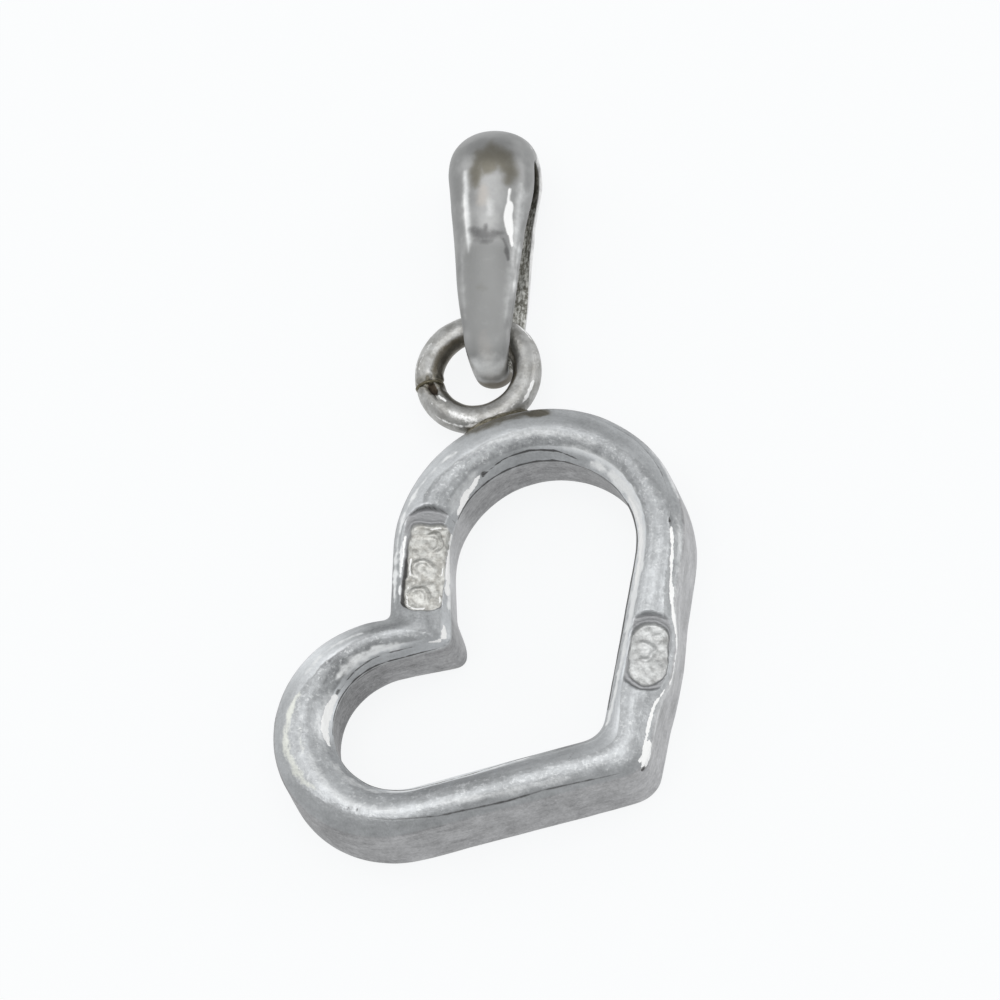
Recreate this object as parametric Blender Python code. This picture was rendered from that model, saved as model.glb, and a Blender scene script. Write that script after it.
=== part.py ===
"""Open-heart pendant: a cast heart band, the jump ring soldered to it and the hollow bail that swings on the ring.

Metres, +Z up. The pendant lies on its back with the bail at +Y. The heart is drawn round the centre of its lower
left lobe, and the root empty then moves the whole pendant until its box stands on the origin.
"""

import math

import bpy
import bmesh
from mathutils import Matrix, Vector

# Heart: outer outline, from the centre of the lower lobe
LOWER_LOBE_RADIUS = 0.00358
UPPER_LOBE_RADIUS = 0.00454
UPPER_LOBE_X = 0.00443
UPPER_LOBE_Y = 0.0059
TIP_X = 0.00718
TIP_Y = -0.00094
TIP_RADIUS = 0.00094
CLEFT_ROOT_RADIUS = 0.00022

# Heart: widths of the band, which set the window
UPPER_BAND_LEFT = 0.00172
UPPER_BAND_RIGHT = 0.00154
UPPER_BAND_TOP = 0.00169
LOWER_BAND_LEFT = 0.00182
LOWER_BAND_TOP = 0.00125
LOWER_BAND_BOTTOM = 0.00166
SIDE_BAND = 0.0016
WINDOW_TIP_RADIUS = 0.0008
NOSE_RADIUS = 0.00035
NOSE_INSET_X = 0.00176
NOSE_INSET_Y = 0.00077
NOSE_SHARE = 0.05

# Heart: section of the band
WALL_HEIGHT = 0.00235
DOME_RISE = 0.00032
OUTER_CHAMFER = 0.00016
OUTER_CHAMFER_DROP = 0.00014
INNER_CHAMFER = 0.00026
INNER_CHAMFER_DROP = 0.00034
BACK_BEVEL = 0.0001
BACK_FLARE = 0.00005
WINDOW_DRAFT = 0.00015
DOME_STEPS = 8

# Heart: the two punched marks, each a bare sunk panel in a filed flat
LONG_MARK_LENGTH = 0.00285
LONG_MARK_WIDTH = 0.0013
LONG_MARK_CORNER = 0.00026
LONG_MARK_DROP = 0.00078
LONG_MARK_INSET = 0.00111
LONG_MARK_LEAN = math.radians(-1.0)
LONG_MARK_TILT = math.radians(14.0)
LONG_FLAT_MARGIN = 0.0003
LONG_FLAT_CORNER = 0.0007
LONG_FLAT_DEPTH = 0.00015
LONG_FLOOR_DEPTH = 0.00034
OVAL_MARK_LENGTH = 0.00204
OVAL_MARK_WIDTH = 0.00112
OVAL_MARK_DROP = 0.0035
OVAL_MARK_INSET = 0.0008
OVAL_MARK_LEAN = math.radians(-3.0)
OVAL_FLAT_MARGIN = 0.00026
OVAL_FLAT_DEPTH = 0.00012
OVAL_FLOOR_DEPTH = 0.0003

# Jump ring
RING_OUTER_DIAMETER = 0.00405
RING_WIRE = 0.00093
RING_HEIGHT = 0.0013
RING_SEAT_ANGLE = math.radians(110.5)
BUTT_ANGLE = math.radians(194.0)
BUTT_GAP = 0.00016

# Bail
BAIL_LENGTH = 0.00848
BAIL_TOP_WIDTH = 0.00264
BAIL_FOOT_WIDTH = 0.0015
BAIL_TOE_WIDTH = 0.0011
BAIL_TAPER = 0.8
BAIL_TOP_RISE = 0.00105
BAIL_FOOT_RISE = 0.00052
BAIL_TOE_RISE = 0.00088
BAIL_WALL = 0.00038
BAIL_RIM = 0.0002
EYE_HALF_GAP = 0.00065
BAIL_SLACK = 0.00024
BAIL_SEAT_ANGLE = math.radians(16.5)
BAIL_LEAN = math.radians(0.9)
PIVOT_INSET = 0.00014
TABLE_GAP = 0.00002
HOLLOW_START = 0.2
HOLLOW_FULL = 0.62

# Solder and seats
SEAT_GAP = 0.00005
SOLDER_LENGTH = 0.0026
SOLDER_HEIGHT = 0.00115
SOLDER_REACH = 0.00046
BUTT_SOLDER_PROUD = 0.00007

# How finely round shapes are divided
ARC_STEP = math.radians(5.0)
LINE_STEP = 0.0006
WIRE_SIDES = 20
RING_STEPS = 60
BAIL_BEND_STEPS = 18
BAIL_STRAIGHT_STEPS = 14
BAIL_SECTION_POINTS = 28
SHELL_OUTER_POINTS = 17
CORNER_STEPS = 6
OVAL_STEPS = 36
SOLDER_SIDES = 32
SOLDER_BANDS = 20
LOBE_SIDES = 144

# Edges sharper than this stay crisp
SHARP_ANGLE = math.radians(35.0)
HEART_SHARP_ANGLE = math.radians(28.0)
BAIL_SHARP_ANGLE = math.radians(50.0)

# Colour and roughness of each metal
POLISHED_SILVER = ((0.80, 0.80, 0.81), 0.12)
WORN_SILVER = ((0.72, 0.71, 0.70), 0.2)
BAIL_SILVER = ((0.76, 0.76, 0.76), 0.14)
TARNISHED_SOLDER = ((0.50, 0.46, 0.39), 0.38)


def silver(name, colour, roughness):
    """A metal finish with its own colour and roughness."""
    material = bpy.data.materials.new(name)
    material.use_nodes = True
    shader = material.node_tree.nodes["Principled BSDF"]
    shader.inputs["Base Color"].default_value = (*colour, 1.0)
    shader.inputs["Metallic"].default_value = 1.0
    shader.inputs["Roughness"].default_value = roughness
    return material


def add_object(name, mesh, material, parent, sharp_angle=SHARP_ANGLE):
    """Shade the mesh smooth apart from its edges, dress it and hang it on its parent."""
    mesh.shade_smooth()
    mesh.set_sharp_from_angle(angle=sharp_angle)
    mesh.materials.append(material)
    part = bpy.data.objects.new(name, mesh)
    bpy.context.scene.collection.objects.link(part)
    part.parent = parent
    return part


def add_cutter(name, mesh, parent):
    """A helper that a Boolean uses and that isn't a piece."""
    cutter = bpy.data.objects.new(name, mesh)
    bpy.context.scene.collection.objects.link(cutter)
    cutter.parent = parent
    cutter.hide_render = True
    cutter.display_type = "WIRE"
    return cutter


def cut(part, cutter):
    """Cut one solid out of another."""
    modifier = part.modifiers.new(cutter.name, "BOOLEAN")
    modifier.operation = "DIFFERENCE"
    modifier.solver = "EXACT"
    modifier.object = cutter


def mesh_from(bm, name):
    """Turn all faces outwards and hand the shape over as a mesh."""
    bmesh.ops.recalc_face_normals(bm, faces=bm.faces)
    mesh = bpy.data.meshes.new(name)
    bm.to_mesh(mesh)
    bm.free()
    return mesh


def at_angle(centre, radius, angle):
    """The point of a circle at an angle from +X."""
    return centre + radius * Vector((math.cos(angle), math.sin(angle)))


def tangent_normal(start, start_radius, end, end_radius):
    """Normal of the straight line that leaves one circle and meets the next, going clockwise round the heart.

    A circle that the outline passes on its other side has a negative radius.
    """
    along = end - start
    distance = along.length
    along = along / distance
    across = Vector((-along.y, along.x))
    share = max(-1.0, min(1.0, (start_radius - end_radius) / distance))
    return share * along + math.sqrt(1.0 - share * share) * across


def clockwise_arc(centre, radius, start, end):
    """Points of an arc between two normals: clockwise, or the other way for a negative radius."""
    first = math.atan2(start.y, start.x)
    sweep = (first - math.atan2(end.y, end.x)) % (2 * math.pi)
    if radius < 0:
        sweep -= 2 * math.pi
    steps = max(2, math.ceil(abs(sweep) / (ARC_STEP / 4)))
    return [at_angle(centre, radius, first - sweep * step / steps) for step in range(steps + 1)]


def spaced(points, count):
    """The start of each of count equal lengths along a run of points."""
    lengths = [0.0]
    for before, after in zip(points, points[1:]):
        lengths.append(lengths[-1] + (after - before).length)
    result = []
    place = 0
    for step in range(count):
        target = lengths[-1] * step / count
        while lengths[place + 1] < target:
            place += 1
        share = (target - lengths[place]) / (lengths[place + 1] - lengths[place])
        result.append(points[place].lerp(points[place + 1], share))
    return result


class HeartPlan:
    """The heart's circles in plan, and the outer and window outlines as pairs of points that face each other."""

    def __init__(self):
        self.lower = Vector((0.0, 0.0))
        self.upper = Vector((UPPER_LOBE_X, UPPER_LOBE_Y))
        self.tip = Vector((TIP_X, TIP_Y))
        root_x = self.upper.x - UPPER_LOBE_RADIUS - CLEFT_ROOT_RADIUS
        root_reach = LOWER_LOBE_RADIUS + CLEFT_ROOT_RADIUS
        self.root = Vector((root_x, math.sqrt(root_reach**2 - root_x**2)))
        self.upper_window_radius = UPPER_LOBE_RADIUS - (UPPER_BAND_LEFT + UPPER_BAND_RIGHT) / 2
        self.upper_window = self.upper + Vector(
            (
                (UPPER_BAND_LEFT - UPPER_BAND_RIGHT) / 2,
                UPPER_LOBE_RADIUS - UPPER_BAND_TOP - self.upper_window_radius,
            )
        )
        self.lower_window_radius = LOWER_LOBE_RADIUS - (LOWER_BAND_TOP + LOWER_BAND_BOTTOM) / 2
        self.lower_window = Vector(
            (
                LOWER_BAND_LEFT + self.lower_window_radius - LOWER_LOBE_RADIUS,
                (LOWER_BAND_BOTTOM - LOWER_BAND_TOP) / 2,
            )
        )
        self.nose = self.root + Vector((NOSE_INSET_X, -NOSE_INSET_Y))
        self.window_tip = self.place_window_tip()

    def place_window_tip(self):
        """Centre of the window's rounded tip, a band's width inside both of the heart's straight sides."""
        right = tangent_normal(self.upper, UPPER_LOBE_RADIUS, self.tip, TIP_RADIUS)
        below = tangent_normal(self.tip, TIP_RADIUS, self.lower, LOWER_LOBE_RADIUS)
        inwards = -(right + below).normalized()
        step = (SIDE_BAND + WINDOW_TIP_RADIUS - TIP_RADIUS) / -inwards.dot(right)
        return self.tip + step * inwards

    def spans(self, upper, upper_radius, tip, tip_radius, lower, lower_radius, corner, corner_radius):
        """One outline as its spans: from the corner's middle clockwise round to the corner's middle."""
        rising = tangent_normal(corner, -corner_radius, upper, upper_radius)
        right = tangent_normal(upper, upper_radius, tip, tip_radius)
        below = tangent_normal(tip, tip_radius, lower, lower_radius)
        ending = tangent_normal(lower, lower_radius, corner, -corner_radius)
        corner_arc = clockwise_arc(corner, -corner_radius, ending, rising)
        middle = len(corner_arc) // 2
        upper_arc = clockwise_arc(upper, upper_radius, rising, right)
        tip_arc = clockwise_arc(tip, tip_radius, right, below)
        lower_arc = clockwise_arc(lower, lower_radius, below, ending)
        return [
            corner_arc[middle:],
            [corner_arc[-1], upper_arc[0]],
            upper_arc,
            [upper_arc[-1], tip_arc[0]],
            tip_arc,
            [tip_arc[-1], lower_arc[0]],
            lower_arc,
            [lower_arc[-1], corner_arc[0]],
            corner_arc[: middle + 1],
        ]

    def pairs(self):
        """Outer and window points that face each other, once round the heart."""
        outer = self.spans(
            self.upper, UPPER_LOBE_RADIUS, self.tip, TIP_RADIUS,
            self.lower, LOWER_LOBE_RADIUS, self.root, CLEFT_ROOT_RADIUS,
        )
        window = self.spans(
            self.upper_window, self.upper_window_radius, self.window_tip, WINDOW_TIP_RADIUS,
            self.lower_window, self.lower_window_radius, self.nose, NOSE_RADIUS,
        )
        # The outer lower lobe runs on to the cleft, so it gives up its last stretch to face the window's straight.
        lobe = outer[6]
        split = round(len(lobe) * (1 - NOSE_SHARE))
        outer[6] = lobe[: split + 1]
        outer[7] = lobe[split:]
        result = []
        for outside, inside in zip(outer, window):
            lengths = [sum((b - a).length for a, b in zip(run, run[1:])) for run in (outside, inside)]
            count = max(4, math.ceil(max(lengths) / LINE_STEP))
            if len(outside) > 2:
                count = max(count, math.ceil(len(outside) / 4))
            result += zip(spaced(outside, count), spaced(inside, count))
        return result


def band_section(outside, inside):
    """The band's section from the foot of its outer wall over the dome to the foot of its inner wall."""
    across = (inside - outside).normalized()
    width = (inside - outside).length
    dome_width = width - OUTER_CHAMFER - INNER_CHAMFER
    profile = [
        (BACK_BEVEL - BACK_FLARE, 0.0),
        (-BACK_FLARE, BACK_BEVEL),
        (0.0, WALL_HEIGHT - OUTER_CHAMFER_DROP),
    ]
    for step in range(DOME_STEPS + 1):
        share = step / DOME_STEPS
        rise = DOME_RISE * (1 - (2 * share - 1) ** 2)
        profile.append((OUTER_CHAMFER + share * dome_width, WALL_HEIGHT + rise))
    profile += [
        (width, WALL_HEIGHT - INNER_CHAMFER_DROP),
        (width - WINDOW_DRAFT, BACK_BEVEL),
        (width - WINDOW_DRAFT - BACK_BEVEL, 0.0),
    ]
    return [(*(outside + reach * across), height) for reach, height in profile]


def closed_loft(bm, rings):
    """Skin a loop of closed sections, the last joined to the first."""
    rows = [[bm.verts.new(point) for point in ring] for ring in rings]
    for row, following in zip(rows, rows[1:] + rows[:1]):
        for place, vertex in enumerate(row):
            after = (place + 1) % len(row)
            bm.faces.new((vertex, row[after], following[after], following[place]))


def prism(outline, height):
    """An upright solid with this outline, standing on Z = 0."""
    bm = bmesh.new()
    face = bm.faces.new([bm.verts.new((point.x, point.y, 0.0)) for point in outline])
    extruded = bmesh.ops.extrude_face_region(bm, geom=[face])
    moved = [item for item in extruded["geom"] if isinstance(item, bmesh.types.BMVert)]
    bmesh.ops.translate(bm, verts=moved, vec=(0.0, 0.0, height))
    return bm


def rounded_rectangle(width, length, corner):
    """A panel's outline with round corners."""
    points = []
    for quarter in range(4):
        start = quarter * math.pi / 2
        sign_x = 1 if quarter in (0, 3) else -1
        sign_y = 1 if quarter in (0, 1) else -1
        centre = Vector((sign_x * (width / 2 - corner), sign_y * (length / 2 - corner)))
        turns = [start + step * math.pi / 2 / CORNER_STEPS for step in range(CORNER_STEPS + 1)]
        points += [at_angle(centre, corner, turn) for turn in turns]
    return points


def ellipse(width, length):
    """An oval outline."""
    turns = [2 * math.pi * step / OVAL_STEPS for step in range(OVAL_STEPS)]
    return [Vector((width / 2 * math.cos(turn), length / 2 * math.sin(turn))) for turn in turns]


def sink_mark(heart, root, name, place, turn, levels):
    """Sink a filed flat and then its panel: levels holds the outline and the depth below the crown of each."""
    for level, outline, depth in levels:
        cutter_name = f"{name}_{level}_cutter"
        bm = prism(outline, WALL_HEIGHT)
        cutter = add_cutter(cutter_name, mesh_from(bm, cutter_name), root)
        cutter.location = (*place, WALL_HEIGHT + DOME_RISE - depth)
        cutter.rotation_euler = turn
        cut(heart, cutter)


def build_heart(plan, root, material):
    """The cast heart, with its two sunk panels."""
    bm = bmesh.new()
    closed_loft(bm, [band_section(outside, inside) for outside, inside in plan.pairs()])
    heart = add_object("heart", mesh_from(bm, "heart"), material, root, HEART_SHARP_ANGLE)

    long_place = plan.upper + Vector((LONG_MARK_INSET - UPPER_LOBE_RADIUS, -LONG_MARK_DROP))
    flat = rounded_rectangle(
        LONG_MARK_WIDTH + 2 * LONG_FLAT_MARGIN, LONG_MARK_LENGTH + 2 * LONG_FLAT_MARGIN, LONG_FLAT_CORNER
    )
    panel = rounded_rectangle(LONG_MARK_WIDTH, LONG_MARK_LENGTH, LONG_MARK_CORNER)
    levels = (("flat", flat, LONG_FLAT_DEPTH), ("panel", panel, LONG_FLOOR_DEPTH))
    sink_mark(heart, root, "long_mark", long_place, (0.0, LONG_MARK_TILT, LONG_MARK_LEAN), levels)

    right = tangent_normal(plan.upper, UPPER_LOBE_RADIUS, plan.tip, TIP_RADIUS)
    side_start = plan.upper + UPPER_LOBE_RADIUS * right
    side = (plan.tip + TIP_RADIUS * right - side_start).normalized()
    oval_place = side_start + OVAL_MARK_DROP / -side.y * side - OVAL_MARK_INSET * right
    flat = ellipse(OVAL_MARK_WIDTH + 2 * OVAL_FLAT_MARGIN, OVAL_MARK_LENGTH + 2 * OVAL_FLAT_MARGIN)
    panel = ellipse(OVAL_MARK_WIDTH, OVAL_MARK_LENGTH)
    levels = (("flat", flat, OVAL_FLAT_DEPTH), ("panel", panel, OVAL_FLOOR_DEPTH))
    sink_mark(heart, root, "oval_mark", oval_place, (0.0, 0.0, OVAL_MARK_LEAN), levels)
    return heart


def ring_centre_radius():
    """Radius of the ring's wire centre line."""
    return (RING_OUTER_DIAMETER - RING_WIRE) / 2


def ring_centre(plan):
    """The ring stands off the upper lobe's wall by a seat gap, at mid height."""
    wall = UPPER_LOBE_RADIUS + BACK_FLARE * (1 - RING_HEIGHT / WALL_HEIGHT)
    reach = wall + SEAT_GAP + RING_OUTER_DIAMETER / 2
    return at_angle(plan.upper, reach, RING_SEAT_ANGLE)


def wire_arc(wire_radius, start, sweep, steps, closed):
    """Round wire spun about Z: part of a turn with flat ends, or a whole turn."""
    bm = bmesh.new()
    circle = bmesh.ops.create_circle(bm, cap_ends=not closed, segments=WIRE_SIDES, radius=wire_radius)
    stand = Matrix.Rotation(math.pi / 2, 4, "X")
    out = Matrix.Translation((ring_centre_radius(), 0.0, 0.0))
    bmesh.ops.transform(bm, matrix=Matrix.Rotation(start, 4, "Z") @ out @ stand, verts=circle["verts"])
    bmesh.ops.spin(
        bm, geom=bm.verts[:] + bm.edges[:] + bm.faces[:], cent=(0.0, 0.0, 0.0), axis=(0.0, 0.0, 1.0),
        angle=sweep, steps=steps, use_merge=closed, use_duplicate=False,
    )
    return bm


def build_jump_ring(plan, root, material):
    """The bent wire, open by the width of its butt joint."""
    half_gap = math.asin(BUTT_GAP / 2 / ring_centre_radius())
    sweep = 2 * math.pi - 2 * half_gap
    bm = wire_arc(RING_WIRE / 2, BUTT_ANGLE + half_gap, sweep, RING_STEPS, closed=False)
    ring = add_object("jump_ring", mesh_from(bm, "jump_ring"), material, root)
    ring.location = (*ring_centre(plan), RING_HEIGHT)
    return ring


def build_butt_solder(plan, root, material):
    """The solder in the butt joint: a thin round wafer, a little proud of the wire."""
    bm = bmesh.new()
    thickness = BUTT_GAP - 2 * SEAT_GAP
    bmesh.ops.create_cone(
        bm, cap_ends=True, segments=WIRE_SIDES, radius1=RING_WIRE / 2 + BUTT_SOLDER_PROUD,
        radius2=RING_WIRE / 2 + BUTT_SOLDER_PROUD, depth=thickness,
    )
    wafer = add_object("ring_seam_solder", mesh_from(bm, "ring_seam_solder"), material, root)
    centre = at_angle(ring_centre(plan), ring_centre_radius(), BUTT_ANGLE)
    wafer.location = (*centre, RING_HEIGHT)
    wafer.rotation_euler = (math.pi / 2, 0.0, BUTT_ANGLE)
    return wafer


def build_heart_solder(plan, root, material):
    """The fillet round the ring's foot, cut by the wire and by the heart's wall with a seat gap to both."""
    bm = bmesh.new()
    bmesh.ops.create_uvsphere(bm, u_segments=SOLDER_SIDES, v_segments=SOLDER_BANDS, radius=0.5)
    bmesh.ops.scale(bm, vec=(2 * SOLDER_REACH, SOLDER_LENGTH, SOLDER_HEIGHT), verts=bm.verts)
    solder = add_object("heart_solder", mesh_from(bm, "heart_solder"), material, root)
    wall = UPPER_LOBE_RADIUS + BACK_FLARE * (1 - RING_HEIGHT / WALL_HEIGHT)
    solder.location = (*at_angle(plan.upper, wall, RING_SEAT_ANGLE), RING_HEIGHT)
    solder.rotation_euler = (0.0, 0.0, RING_SEAT_ANGLE)

    ring_bm = wire_arc(RING_WIRE / 2 + SEAT_GAP, 0.0, 2 * math.pi, RING_STEPS, closed=True)
    ring_cutter = add_cutter("ring_seat_cutter", mesh_from(ring_bm, "ring_seat_cutter"), root)
    ring_cutter.location = (*ring_centre(plan), RING_HEIGHT)
    cut(solder, ring_cutter)

    wall_bm = bmesh.new()
    bmesh.ops.create_cone(
        wall_bm, cap_ends=True, segments=LOBE_SIDES, radius1=UPPER_LOBE_RADIUS + BACK_FLARE + SEAT_GAP,
        radius2=UPPER_LOBE_RADIUS + SEAT_GAP, depth=WALL_HEIGHT,
    )
    wall_cutter = add_cutter("heart_seat_cutter", mesh_from(wall_bm, "heart_seat_cutter"), root)
    wall_cutter.location = (*plan.upper, WALL_HEIGHT / 2)
    cut(solder, wall_cutter)
    return solder


def smooth_step(low, high, value):
    """0 below low, 1 above high and a smooth rise between them."""
    share = max(0.0, min(1.0, (value - low) / (high - low)))
    return share * share * (3 - 2 * share)


def bail_section(share, toe):
    """The bail's section at a share of its length from the foot: (sideways, outward) from the eye's wall.

    The foot is a solid oval bar, narrower and thicker at its toe. Higher up it opens into a half-round shell with
    thin rims.
    """
    width = BAIL_FOOT_WIDTH + share**BAIL_TAPER * (BAIL_TOP_WIDTH - BAIL_FOOT_WIDTH)
    half_width = (width - toe * (BAIL_FOOT_WIDTH - BAIL_TOE_WIDTH)) / 2
    rise = BAIL_FOOT_RISE + share * (BAIL_TOP_RISE - BAIL_FOOT_RISE) + toe * (BAIL_TOE_RISE - BAIL_FOOT_RISE)
    hollow = smooth_step(HOLLOW_START, HOLLOW_FULL, share)
    inner_points = BAIL_SECTION_POINTS - SHELL_OUTER_POINTS
    points = []
    for place in range(BAIL_SECTION_POINTS):
        if place < SHELL_OUTER_POINTS:
            turn = -math.pi / 2 + math.pi * place / (SHELL_OUTER_POINTS - 1)
            shell = (half_width * math.sin(turn), rise * math.cos(turn))
        else:
            turn = math.pi / 2 - math.pi * (place - SHELL_OUTER_POINTS) / (inner_points - 1)
            shell = ((half_width - BAIL_RIM) * math.sin(turn), (rise - BAIL_WALL) * math.cos(turn))
        round_turn = 2 * math.pi * (place - (SHELL_OUTER_POINTS - 1) / 2) / BAIL_SECTION_POINTS
        bar = (half_width * math.sin(round_turn), rise * (1 + math.cos(round_turn)) / 2)
        points.append([(1 - hollow) * flat + hollow * curved for flat, curved in zip(bar, shell)])
    return points


def bail_stations(straight):
    """Where the sections stand round the slot-shaped eye: (along, up, direction outwards), along from the foot."""
    stations = []
    for step in range(BAIL_STRAIGHT_STEPS):
        stations.append((straight * step / BAIL_STRAIGHT_STEPS, EYE_HALF_GAP, math.pi / 2))
    for step in range(BAIL_BEND_STEPS):
        turn = math.pi / 2 - math.pi * step / BAIL_BEND_STEPS
        stations.append(
            (straight + EYE_HALF_GAP * math.cos(turn), EYE_HALF_GAP * math.sin(turn), turn)
        )
    for step in range(BAIL_STRAIGHT_STEPS):
        stations.append((straight * (1 - step / BAIL_STRAIGHT_STEPS), -EYE_HALF_GAP, -math.pi / 2))
    for step in range(BAIL_BEND_STEPS):
        turn = -math.pi / 2 - math.pi * step / BAIL_BEND_STEPS
        stations.append((EYE_HALF_GAP * math.cos(turn), EYE_HALF_GAP * math.sin(turn), turn))
    return stations


def bail_straight():
    """Length of the eye's straight sides."""
    return BAIL_LENGTH - BAIL_TOP_RISE - BAIL_TOE_RISE - 2 * EYE_HALF_GAP


def bail_slope():
    """The slope at which the bail's head rests on the table."""
    head = EYE_HALF_GAP + BAIL_TOP_RISE + TABLE_GAP
    return math.asin((head - RING_HEIGHT) / (bail_straight() - BAIL_SLACK))


def build_bail(pivot, material):
    """The bail, with its toe's bend below the pivot by the slack, sloping up to its head on the table."""
    straight = bail_straight()
    rings = []
    for along, up, turn in bail_stations(straight):
        share = max(0.0, min(1.0, along / straight))
        toe = min(0.0, math.cos(turn)) ** 2
        ring = []
        for sideways, outward in bail_section(share, toe):
            reach = along + outward * math.cos(turn)
            height = up + outward * math.sin(turn)
            ring.append((sideways, reach - BAIL_SLACK, height))
        rings.append(ring)
    bm = bmesh.new()
    closed_loft(bm, rings)
    bail = add_object("bail", mesh_from(bm, "bail"), material, pivot, BAIL_SHARP_ANGLE)
    bail.rotation_euler = (bail_slope(), 0.0, BAIL_LEAN)
    return bail


def pendant_shift(plan, pivot):
    """Moves the middle of the pendant's box in plan to the origin."""
    left = -LOWER_LOBE_RADIUS - BACK_FLARE
    right_normal = tangent_normal(plan.upper, UPPER_LOBE_RADIUS, plan.tip, TIP_RADIUS)
    lobe_right = plan.upper.x + UPPER_LOBE_RADIUS
    tip_right = plan.tip.x + TIP_RADIUS
    right = max(lobe_right, tip_right) + BACK_FLARE
    bottom = -LOWER_LOBE_RADIUS - BACK_FLARE
    head = (bail_straight() - BAIL_SLACK) * math.cos(bail_slope())
    top = pivot.y + head + EYE_HALF_GAP + BAIL_TOP_RISE
    return Vector((-(left + right) / 2, -(bottom + top) / 2, 0.0))


def build_pendant():
    """The five pieces, on the root empty and on the pivot that the bail swings on."""
    plan = HeartPlan()
    centre = ring_centre(plan)
    swing = at_angle(centre, ring_centre_radius() - PIVOT_INSET, math.pi / 2 - BAIL_SEAT_ANGLE)

    root = bpy.data.objects.new("pendant", None)
    bpy.context.scene.collection.objects.link(root)
    root.location = pendant_shift(plan, swing)
    pivot = bpy.data.objects.new("bail_pivot", None)
    bpy.context.scene.collection.objects.link(pivot)
    pivot.parent = root
    pivot.location = (*swing, RING_HEIGHT)

    solder = silver("tarnished_solder", *TARNISHED_SOLDER)
    build_heart(plan, root, silver("polished_silver", *POLISHED_SILVER))
    build_jump_ring(plan, root, silver("worn_silver", *WORN_SILVER))
    build_butt_solder(plan, root, solder)
    build_heart_solder(plan, root, solder)
    build_bail(pivot, silver("bail_silver", *BAIL_SILVER))


for old in list(bpy.data.objects):
    bpy.data.objects.remove(old, do_unlink=True)
build_pendant()
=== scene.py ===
"""Looks of the open-heart pendant: the cast heart, its jump ring, the solder and the hollow bail.

Sizes are in millimetres from the middle of the heart's lower lobe. A finished mesh is then brought to metres and to
its place in the frame.
"""

import logging
import math
from collections.abc import Iterator, Sequence
from contextlib import contextmanager
from dataclasses import dataclass, field, replace
from enum import Enum
from itertools import product
from typing import NamedTuple

import bmesh
import bpy
import numpy as np
from mathutils import Matrix, Vector


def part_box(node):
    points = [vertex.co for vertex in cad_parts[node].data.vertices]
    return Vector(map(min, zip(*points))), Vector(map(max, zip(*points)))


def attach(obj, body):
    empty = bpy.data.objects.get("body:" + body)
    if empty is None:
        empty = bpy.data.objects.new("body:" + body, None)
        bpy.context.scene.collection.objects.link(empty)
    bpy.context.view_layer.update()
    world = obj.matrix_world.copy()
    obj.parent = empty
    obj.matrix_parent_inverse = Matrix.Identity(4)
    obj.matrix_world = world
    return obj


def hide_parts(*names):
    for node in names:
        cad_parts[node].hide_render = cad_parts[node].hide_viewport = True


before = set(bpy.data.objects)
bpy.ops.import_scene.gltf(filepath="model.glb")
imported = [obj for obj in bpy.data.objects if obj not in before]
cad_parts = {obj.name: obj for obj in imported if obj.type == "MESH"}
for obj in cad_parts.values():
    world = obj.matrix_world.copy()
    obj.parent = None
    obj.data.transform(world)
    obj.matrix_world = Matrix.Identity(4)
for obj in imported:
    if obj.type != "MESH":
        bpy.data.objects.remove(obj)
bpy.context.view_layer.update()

log = logging.getLogger("pendant")

MM = 0.001
FULL_TURN = 2 * math.pi
HALF_TURN = math.pi
QUARTER_TURN = math.pi / 2

# The longest turn from one point of an arc to the next, and the fewest steps in any stretch of an outline
ARC_STEP = math.radians(0.5)
FEWEST_STEPS = 8

# Points closer than this are one where a run closes, in millimetres
MERGE_DISTANCE = 1e-4

# The noise repeats after this many lumps
NOISE_PERIOD = 64

Colour = tuple[float, float, float]


class Body(Enum):
    """The two bodies of the frame."""

    HEART_AND_RING = "heart_and_ring"
    BAIL = "bail"


class Slot(Enum):
    """The record's material slots."""

    POLISHED = "polished_silver"
    WORN = "worn_silver"
    BAIL = "bail_silver"
    SOLDER = "tarnished_solder"


# ---------------------------------------------------------------- numbers and noise


def ramp(low: float, high: float, value: np.ndarray) -> np.ndarray:
    """A smooth rise from 0 at low to 1 at high."""
    share = np.clip((value - low) / (high - low), 0.0, 1.0)
    return share * share * (3 - 2 * share)


def hump(value: np.ndarray, middle: float, half_width: float) -> np.ndarray:
    """1 at the middle, falling smoothly to 0 at the half width."""
    return 1 - ramp(0.0, half_width, np.abs(value - middle))


def between(value: np.ndarray, low: float, high: float, soft: float) -> np.ndarray:
    """1 between low and high, with soft ends."""
    return ramp(low - soft, low + soft, value) * (1 - ramp(high - soft, high + soft, value))


def lumps(points: np.ndarray, size: float, seed: int) -> np.ndarray:
    """Smooth noise from -1 to 1.

    Args:
        points: Places in millimetres, one row each.
        size: How far apart the lumps are.
        seed: Which pattern.

    Returns:
        One value for each point.
    """
    table = np.random.default_rng(seed).uniform(-1.0, 1.0, (NOISE_PERIOD, NOISE_PERIOD, NOISE_PERIOD))
    place = points / size + seed
    cell = np.floor(place).astype(int)
    part = place - cell
    part = part * part * (3 - 2 * part)
    total = np.zeros(len(points))
    for corner in product((0, 1), repeat=3):
        index = (cell + corner) % NOISE_PERIOD
        weight = np.where(corner, part, 1 - part).prod(axis=1)
        total += weight * table[index[:, 0], index[:, 1], index[:, 2]]
    return total


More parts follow.
